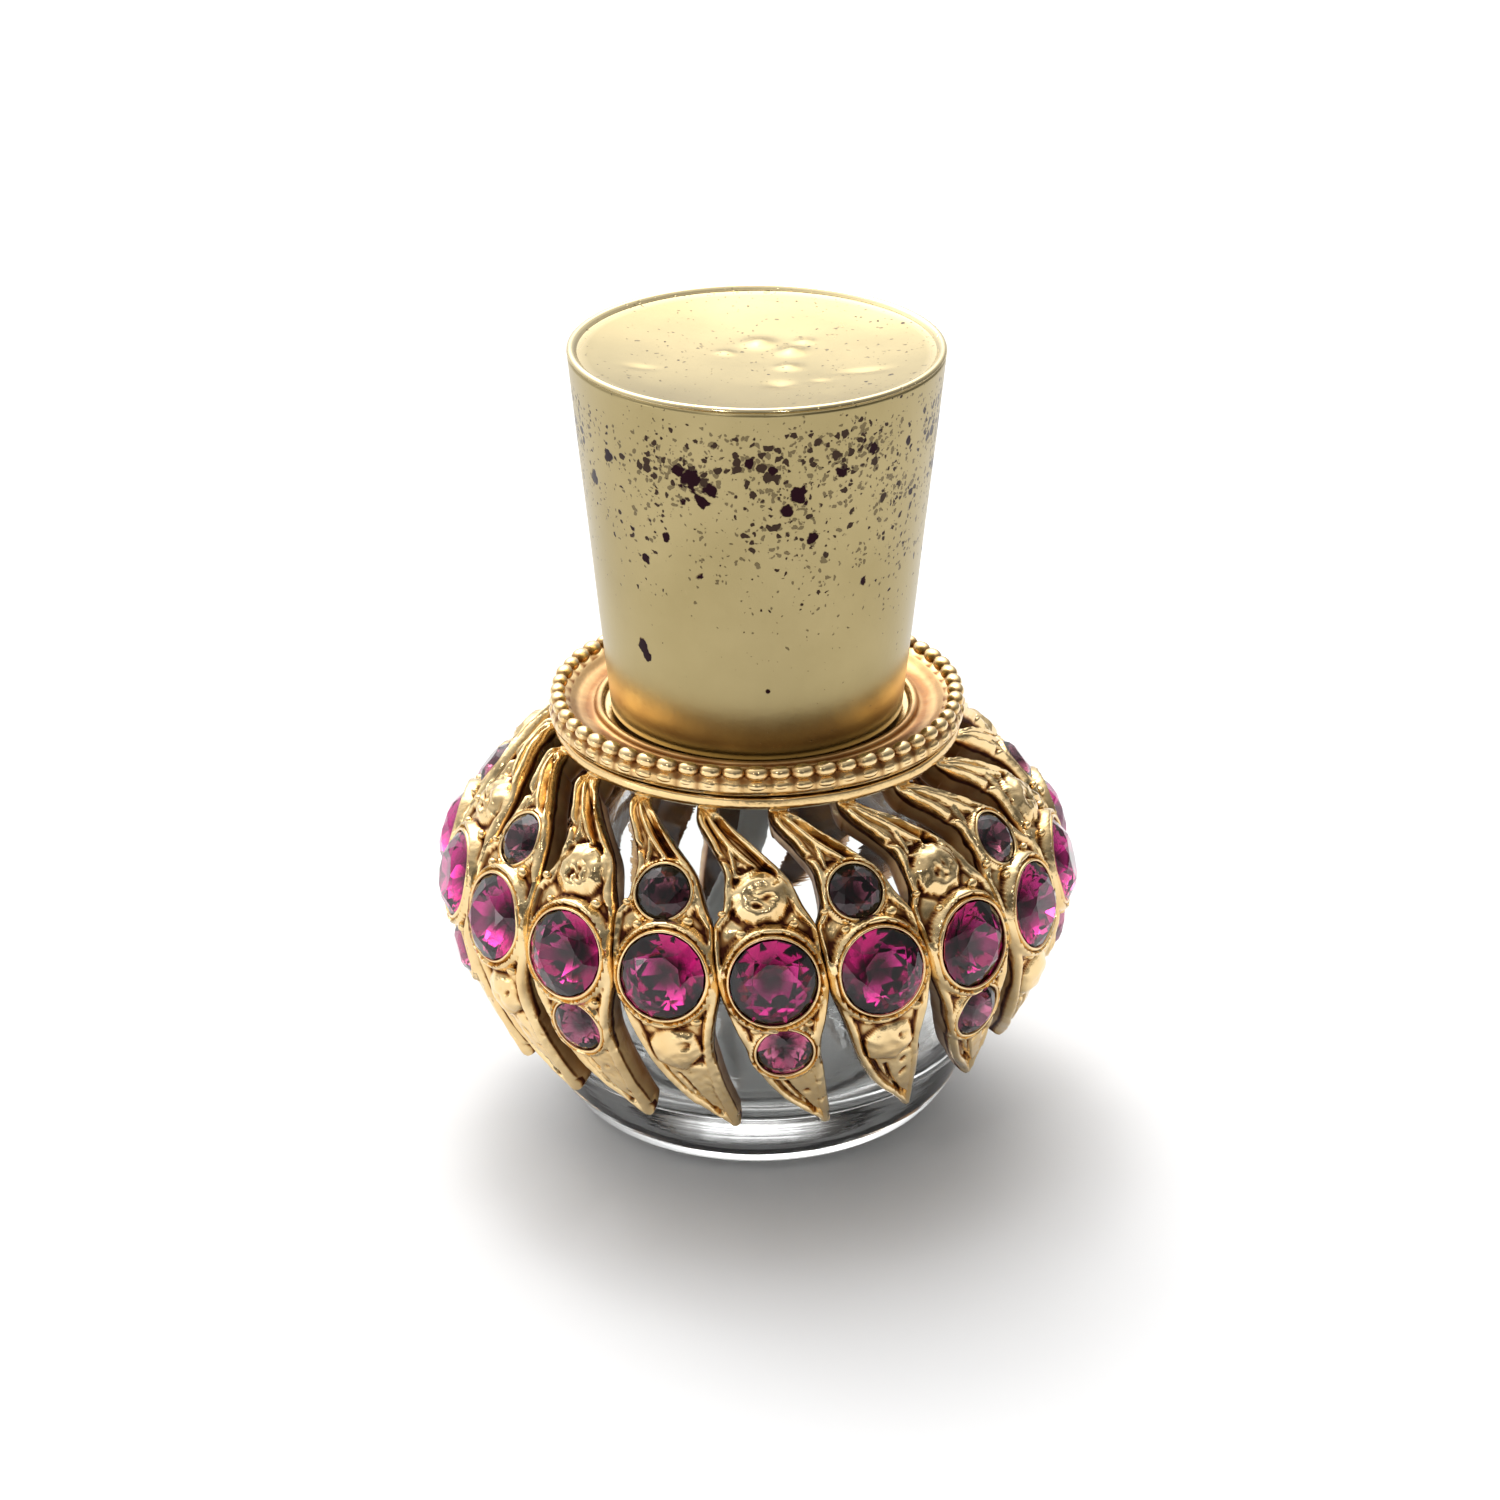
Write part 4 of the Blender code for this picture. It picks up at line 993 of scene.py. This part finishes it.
def dip_tube():
    top, length, steps, sides = 31.5, 24.0, 60, 24
    straight, sweep, power = 0.12, 11.5, 1.55
    rows = []
    for side_radius in (1.25, 0.75):
        shell = []
        for step in range(steps + 1):
            share = step / steps
            bend = max(0.0, share - straight)
            centre = np.array([-sweep * bend ** power, 0.0, top - length * share])
            along = np.array([-sweep * power * bend ** (power - 1.0) / length, 0.0, -1.0])
            along /= np.linalg.norm(along)
            across = np.array([0.0, 1.0, 0.0])
            upward = np.cross(along, across)
            angle = np.linspace(0.0, math.tau, sides, endpoint=False)[:, None]
            shell.append(centre + side_radius * (np.cos(angle) * across + np.sin(angle) * upward))
        rows.append(shell)
    mesh = grid_mesh("dip_tube", np.array(rows[0] + rows[1][::-1]), wrap_rows=True)
    add_piece("dip_pipe", mesh, [moulded("dip_tube_plastic", (0.86, 0.88, 0.87), 0.25, clear=0.35)],
              "pump_unit", ["dip_tube"])


BALL_RADIUS, BALL_HEIGHT = 0.95, 33.9


def wire_and_ball():
    turns, sides, steps = 5.0, 12, 240
    base, height, reach, wire = 36.27, 4.86, 2.05, 0.17
    rows = []
    for step in range(steps + 1):
        share = step / steps
        turn = math.tau * turns * share
        out = np.array([math.cos(turn), math.sin(turn), 0.0])
        angle = np.linspace(0.0, math.tau, sides, endpoint=False)[:, None]
        centre = out * reach + np.array([0.0, 0.0, base + height * share])
        rows.append(centre + wire * (np.cos(angle) * out + np.sin(angle) * np.array([0.0, 0.0, 1.0])))
    steel = shell_finish("spring_steel", (0.62, 0.63, 0.65), 0.22, 0.1)
    add_piece("coil_spring", grid_mesh("coil_spring", np.array(rows)), [steel], "pump_unit", ["pump_spring"])
    bm = bmesh.new()
    seat = Matrix.Translation((0, 0, BALL_HEIGHT * MM))
    bmesh.ops.create_icosphere(bm, subdivisions=4, radius=BALL_RADIUS * MM, matrix=seat)
    mesh = bpy.data.meshes.new("check_ball")
    bm.to_mesh(mesh)
    bm.free()
    mesh.shade_smooth()
    polished = shell_finish("ball_steel", (0.70, 0.70, 0.72), 0.1, 0.05)
    add_piece("check_ball", mesh, [polished], "inlet_valve", ["inlet_ball"])


pump()
dip_tube()
wire_and_ball()


# ---- Spray button ----
# The real button is moulded plastic with a gold metallised skin and a finger dish on top.
# It is pushed on the stem, and a white nozzle insert is pressed into its front.
NOZZLE_HEIGHT = 59.5


def along_front(name, outline, segments=40):
    """A turned part whose axis lies along Y at the nozzle's height; outline is (radius, y)."""
    mesh = turned(name, outline, segments)
    lift = Matrix.Translation((0, 0, NOZZLE_HEIGHT * MM))
    mesh.transform(lift @ Matrix.Rotation(math.radians(-90.0), 4, "X"))
    return mesh


def spray_button():
    outline = [(0.0, 61.4), (1.4, 61.45), (2.6, 61.6), (3.7, 61.83), (4.6, 62.08), (5.2, 62.0), (5.6, 61.5),
               (5.6, 54.5), (5.0, 54.5), (5.0, 56.9), (2.8, 56.9), (2.8, 54.8), (1.6, 54.8), (1.6, 58.4),
               (0.5, 58.4), (0.5, 60.1), (0.0, 60.1)]
    mesh = turned("button", eased(outline, 0.25), 96)
    button = bpy.data.objects.new("button", mesh)
    bpy.context.scene.collection.objects.link(button)
    cutters = []
    for radius, front, back in ((1.9, -7.0, -3.2), (0.3, -3.6, -0.1)):
        hole = [(0.0, front), (radius, front), (radius, back), (0.0, back)]
        cutter = bpy.data.objects.new("drill", along_front("drill", hole, 32))
        bpy.context.scene.collection.objects.link(cutter)
        cut = button.modifiers.new("drill", "BOOLEAN")
        cut.operation, cut.solver, cut.object = "DIFFERENCE", "EXACT", cutter
        cutters.append(cutter)
    cut_mesh = bpy.data.meshes.new_from_object(button.evaluated_get(bpy.context.evaluated_depsgraph_get()))
    for leftover in [button] + cutters:
        bpy.data.objects.remove(leftover)
    tidy_mesh(cut_mesh)
    cut_mesh.materials.clear()
    gold = shell_finish("button_gold", (0.84, 0.68, 0.40), 0.2, 0.12)
    add_piece("finger_button", cut_mesh, [gold], "button", ["actuator_button"])
    outline = eased([(0.25, -5.2), (0.7, -5.3), (1.45, -5.35), (1.6, -5.2), (1.6, -3.5), (0.25, -3.5),
                     (0.25, -5.2)], 0.08)[:-1]
    white = moulded("nozzle_plastic", (0.90, 0.90, 0.88), 0.3)
    add_piece("spray_nozzle", along_front("spray_nozzle", outline), [white], "button", ["nozzle_insert"])


spray_button()


# ---- Cap ----
# The real cap is a spun brass cup, lacquered satin pale gold, dished on top and pitted with age.
# A moulded liner is pressed inside it and grips the ferrule.
CAP_BASE, CAP_TOP = 37.5, 69.7
CAP_BASE_RADIUS, CAP_RIM_RADIUS = 12.45, 15.78
CAP_WALL = 0.6
# Blisters and dents in the dish: place across and back, length, width and height.
BLISTERS = ((0.2, 4.4, 1.7, 1.4, 0.34), (2.9, 2.4, 1.5, 1.3, 0.32), (2.6, -1.4, 1.3, 1.0, 0.24),
            (-2.6, 2.2, 1.0, 0.8, 0.16), (1.9, -6.0, 1.6, 1.3, -0.2), (8.8, -3.4, 2.6, 0.9, -0.14),
            (4.0, 4.6, 1.1, 0.8, 0.18), (-9.6, -2.6, 1.8, 0.8, -0.1), (5.2, -5.4, 1.2, 0.7, -0.1))


def cap_radius(height):
    share = (height - CAP_BASE) / (CAP_TOP - CAP_BASE)
    return CAP_BASE_RADIUS + (CAP_RIM_RADIUS - CAP_BASE_RADIUS) * share


def pitting_group():
    """Pits where the lacquer has lifted: irregular dark specks, crowded where Density is high, each ringed by
    a painted highlight.
    """
    group, given, out = effect_group(
        "pitting", [("Vector", "vector", None), ("Scale", "float", 900.0), ("Density", "float", 0.5)],
        [("Pits", "float"), ("Rim Highlight", "float")])
    wobble = noise(group, given["Vector"], 1300.0, 2.0)
    shift = vector_maths(group, "MULTIPLY", wobble.outputs[1], (0.0008, 0.0008, 0.0008))
    bent = vector_maths(group, "ADD", given["Vector"], shift)
    cells = node(group, "ShaderNodeTexVoronoi", [("Vector", bent), ("Scale", given["Scale"])])
    chance = node(group, "ShaderNodeSeparateColor", [("Color", cells.outputs["Color"])])
    open_size = maths(group, "SUBTRACT", given["Density"], chance.outputs[0])
    size = maths(group, "MULTIPLY", open_size, maths(group, "ADD", chance.outputs[1], 0.35))
    size = maths(group, "MULTIPLY", size, 0.75, clamp=True)
    near = maths(group, "SUBTRACT", size, cells.outputs["Distance"])
    group.links.new(maths(group, "MULTIPLY", near, 14.0, clamp=True), out["Pits"])
    group.links.new(maths(group, "MULTIPLY", maths(group, "ADD", near, 0.1), 5.0, clamp=True), out["Rim Highlight"])
    return group


def flake_group():
    """One larger flake of lost lacquer with a ragged outline."""
    group, given, out = effect_group(
        "flake", [("Vector", "vector", None), ("Place", "vector", None), ("Size", "float", 0.001)],
        [("Flake", "float")])
    ragged = noise(group, given["Vector"], 1100.0, 3.0)
    away = node(group, "ShaderNodeVectorMath", [(0, given["Vector"]), (1, given["Place"])],
                operation="DISTANCE")
    share = maths(group, "DIVIDE", away.outputs["Value"], given["Size"])
    edge = maths(group, "SUBTRACT", maths(group, "MULTIPLY", ragged.outputs[0], 2.6), share)
    lost = maths(group, "MULTIPLY", maths(group, "SUBTRACT", edge, 0.45), 6.0, clamp=True)
    group.links.new(lost, out["Flake"])
    return group


# Larger flakes round the cup: azimuth, height and size.
FLAKES = ((-21.0, 63.2, 1.1), (-15.0, 62.4, 0.9), (-25.0, 63.6, 0.8), (-17.0, 61.2, 0.7), (13.0, 62.0, 0.9),
          (17.5, 58.0, 0.65), (-53.0, 63.4, 0.75), (-44.0, 46.6, 0.7), (-43.0, 45.7, 0.55), (4.0, 44.0, 0.35),
          (38.0, 65.0, 0.6), (-40.0, 55.0, 0.5), (38.0, 53.0, 0.6), (-30.0, 57.5, 0.45), (-2.0, 65.0, 0.55),
          (27.0, 63.5, 0.7), (-64.0, 60.5, 0.8), (120.0, 62.0, 1.0), (165.0, 58.0, 0.8), (-140.0, 64.0, 1.1),
          (-110.0, 55.0, 0.6), (80.0, 60.0, 0.8))


def cap_shell():
    heights = [*np.linspace(CAP_BASE + 0.12, CAP_TOP - 1.4, 56),
               *np.linspace(CAP_TOP - 1.3, CAP_TOP - 0.33, 16)]
    side = [(cap_radius(h), h) for h in heights]
    rim = [(15.77, 69.42), (15.7, 69.58), (15.55, 69.68), (15.38, 69.69), (15.2, 69.62), (15.05, 69.45),
           (14.9, 69.33)]
    dish = spline([(14.9, 69.3), (13.2, 69.0), (10.5, 68.64), (5.5, 68.22), (0.0, 68.1)], 22)
    under = [(0.0, 67.5), (5.5, 67.72), (10.5, 68.03), (14.2, 68.2), (14.95, 68.0)]
    wall = [(cap_radius(h) - CAP_WALL, h) for h in np.linspace(67.4, CAP_BASE + 0.12, 12)]
    foot = [(CAP_BASE_RADIUS - 0.55, CAP_BASE + 0.02), (CAP_BASE_RADIUS - 0.3, CAP_BASE),
            (CAP_BASE_RADIUS - 0.07, CAP_BASE + 0.02)]
    profile = [(0.0, 68.1)] + dish[::-1][1:] + rim[::-1] + side[::-1] + foot[::-1] + wall[::-1] + under[::-1]

    def aged(turn, radius, height):
        x, y = radius * np.sin(turn), -radius * np.cos(turn)
        on_dish = (height > 68.0) & (radius < 14.8)
        rise = 0.018 * lumps(x, y, height, 0.55, 23)
        for bx, by, long, short, tall in BLISTERS:
            rise = rise + tall * np.exp(-(((x - bx) / long) ** 2 + ((y - by) / short) ** 2) * 2.2)
        outer = (radius > cap_radius(height) - 0.1) & (height < 69.4)
        groove = 0.12 * np.exp(-((height - 69.2) / 0.12) ** 2)
        return radius + outer * (0.02 * lumps(x, y, height, 0.35, 21) - groove), height + rise * on_dish

    mesh = turned("cap_shell", profile, 192, aged)
    material, tree, shader = finish("satin_pale_gold", (0.37, 0.30, 0.15), 0.32, 1.0)
    here = coordinates(tree)
    axes = split_axes(tree, here)
    decimetres = maths(tree, "MULTIPLY", axes[2], 10.0)
    up = ramp(tree, decimetres, [(0.44, 0.0), (0.52, 0.35), (0.60, 0.8), (0.645, 1.0), (0.67, 0.75),
                                 (0.683, 0.35)])
    right = node(tree, "ShaderNodeMapRange", [(0, axes[0]), (1, -0.016), (2, 0.016), (3, 0.0), (4, 1.0)])
    patch = noise(tree, here, 170.0, 3.0)
    crowd = maths(tree, "ADD", maths(tree, "MULTIPLY", up, 0.62),
                  maths(tree, "MULTIPLY", right.outputs[0], 0.16))
    crowd = maths(tree, "MULTIPLY", crowd, maths(tree, "MULTIPLY", patch.outputs[0], 2.4))
    crowd = maths(tree, "MULTIPLY", crowd, ramp(tree, decimetres, [(0.683, 1.0), (0.6835, 0.8)]))
    pitting = pitting_group()
    big = use_group(tree, pitting, [("Vector", here), ("Scale", 700.0),
                                    ("Density", maths(tree, "MULTIPLY", crowd, 0.6))])
    small = use_group(tree, pitting, [("Vector", here), ("Scale", 1500.0), ("Density", crowd)])
    specks = use_group(tree, pitting, [("Vector", here), ("Scale", 2400.0),
                                       ("Density", maths(tree, "ADD", crowd, 0.12))])
    pits = maths(tree, "MAXIMUM", big.outputs["Pits"], maths(tree, "MULTIPLY", small.outputs["Pits"], 0.93))
    pits = maths(tree, "MAXIMUM", pits, maths(tree, "MULTIPLY", specks.outputs["Pits"], 0.6))
    flaking = flake_group()
    for azimuth, height, size in FLAKES:
        turn, reach = math.radians(azimuth), cap_radius(height)
        place = (reach * math.sin(turn) * MM, -reach * math.cos(turn) * MM, height * MM)
        flake = use_group(tree, flaking, [("Vector", here), ("Place", place), ("Size", size * MM)])
        pits = maths(tree, "MAXIMUM", pits, flake.outputs[0])
    pit_rim_highlight = maths(tree, "MAXIMUM", big.outputs["Rim Highlight"], small.outputs["Rim Highlight"])
    tone = noise(tree, here, 90.0, 6.0)
    lacquer = ramp(tree, tone.outputs[0], [(0.35, (0.345, 0.275, 0.13)), (0.65, (0.41, 0.33, 0.165))])
    # Painted highlight: the lacquer is lightened round each pit, for light caught on the blister rims.
    marked = mixed(tree, maths(tree, "MULTIPLY", pit_rim_highlight, 0.35), lacquer, (0.42, 0.33, 0.17, 1.0))
    pitted = mixed(tree, pits, marked, (0.018, 0.006, 0.009, 1.0))
    lip = ramp(tree, decimetres, [(0.6948, 0.0), (0.6951, 1.0)])
    tree.links.new(mixed(tree, lip, pitted, (0.80, 0.66, 0.38, 1.0)), shader.inputs["Base Color"])
    satin = ramp(tree, tone.outputs[0], [(0.3, 0.27), (0.7, 0.35)])
    roughness = maths(tree, "SUBTRACT", satin, maths(tree, "MULTIPLY", lip, 0.16))
    tree.links.new(roughness, shader.inputs["Roughness"])
    grain = noise(tree, here, 2600.0, 3.0)
    depth = maths(tree, "SUBTRACT", maths(tree, "MULTIPLY", grain.outputs[0], 0.12), pits)
    add_bump(tree, shader, depth, 0.5, 0.00012)
    add_piece("cap_cup", mesh, [material], "cap", ["cap_shell"])


def cap_liner():
    outset = CAP_WALL + 0.33
    base, top = 37.8, 67.2
    roof, grip_top = top - 0.6, 49.0
    outline = [(9.8, base), (cap_radius(base) - outset, base), (cap_radius(top) - outset, top), (0.0, top)]
    inner = [(0.0, roof), (cap_radius(roof) - outset - 0.9, roof),
             (cap_radius(grip_top + 1.0) - outset - 0.9, grip_top + 1.0), (9.8, grip_top)]
    liner = turned("cap_liner", eased(inner + outline, 0.3))
    cream = moulded("liner_plastic", (0.78, 0.75, 0.68), 0.45)
    add_piece("cap_insert", liner, [cream], "cap", ["cap_liner"])


cap_shell()
cap_liner()


# ---- Table, lights and camera ----
# A white table in a light tent that is bright high up behind the bottle and dim on the viewer's side.
# Small softboxes put the highlights on the stones and the gilding.
AIM = (0.0, 0.0, 0.03)


def studio():
    bm = bmesh.new()
    bmesh.ops.create_circle(bm, cap_ends=True, segments=96, radius=2.2)
    mesh = bpy.data.meshes.new("table_top")
    bm.to_mesh(mesh)
    bm.free()
    table = bpy.data.objects.new("table_top", mesh)
    bpy.context.scene.collection.objects.link(table)
    mesh.materials.append(finish("white_sweep", (0.9, 0.9, 0.9), 0.9, Specular_IOR_Level=0.1)[0])


def softbox(name, place, width, height, watts):
    lamp = bpy.data.lights.new(name, "AREA")
    lamp.shape = "RECTANGLE"
    lamp.size, lamp.size_y = width, height
    lamp.energy = watts
    light = bpy.data.objects.new(name, lamp)
    bpy.context.scene.collection.objects.link(light)
    light.location = place
    light.rotation_euler = (Vector(AIM) - Vector(place)).to_track_quat("-Z", "Y").to_euler()


def world_light():
    """A light tent: dim on the viewer's side, bright high up behind the bottle."""
    world = bpy.data.worlds.new("light_tent")
    bpy.context.scene.world = world
    world.use_nodes = True
    tree = world.node_tree
    sky = tree.nodes["Background"]
    direction = node(tree, "ShaderNodeTexCoord").outputs["Generated"]
    across, back, upward = split_axes(tree, direction)
    key = node(tree, "ShaderNodeVectorMath", [(0, direction), (1, (-0.08, 0.61, 0.788))],
               operation="DOT_PRODUCT").outputs["Value"]
    glow = ramp(tree, maths(tree, "MULTIPLY_ADD", key, 0.5, 0.5), [
        (0.0, 0.01), (0.35, 0.02), (0.5, 0.04), (0.8, 0.125), (0.9, 0.25), (0.96, 0.58), (1.0, 1.0)])
    leftward = maths(tree, "SUBTRACT", 1.0, maths(tree, "MULTIPLY", across, 0.5))
    low = ramp(tree, maths(tree, "ABSOLUTE", upward), [(0.0, 1.0), (0.22, 0.7), (0.36, 0.0)])
    beside = ramp(tree, maths(tree, "MULTIPLY_ADD", across, 0.5, 0.5), [
        (0.02, 0.2), (0.1, 0.32), (0.38, 0.3), (0.44, 0.02), (0.58, 0.02), (0.66, 0.16), (0.9, 0.12)])
    in_front = ramp(tree, back, [(0.0, 1.0), (0.15, 0.0)])
    panels = vector_maths(tree, "MULTIPLY", vector_maths(tree, "MULTIPLY", low, beside), in_front)
    whole = vector_maths(tree, "ADD", vector_maths(tree, "MULTIPLY", glow, leftward), panels)
    tree.links.new(whole, sky.inputs["Color"])
    sky.inputs["Strength"].default_value = 5.0


def camera():
    data = bpy.data.cameras.new("view")
    data.lens = 107.66
    data.sensor_width = 36.0
    data.shift_x = -0.00447
    seat = bpy.data.objects.new("view", data)
    bpy.context.scene.collection.objects.link(seat)
    distance, elevation = 0.3861, math.radians(24.49)
    target = Vector((0.0, 0.0, 0.0328))
    seat.location = target + Vector((0.0, -math.cos(elevation), math.sin(elevation))) * distance
    seat.rotation_euler = (target - seat.location).to_track_quat("-Z", "Y").to_euler()
    bpy.context.scene.camera = seat


studio()
world_light()
softbox("overhead", (-0.08, 0.22, 0.45), 0.10, 0.10, 0.3)
softbox("front_left", (-0.16, -0.36, 0.40), 0.025, 0.025, 0.10)
softbox("front_right", (0.12, -0.40, 0.44), 0.02, 0.02, 0.07)
softbox("left_fill", (-0.5, -0.20, 0.10), 0.06, 0.16, 0.10)
camera()
bpy.context.scene.view_settings.view_transform = "Standard"
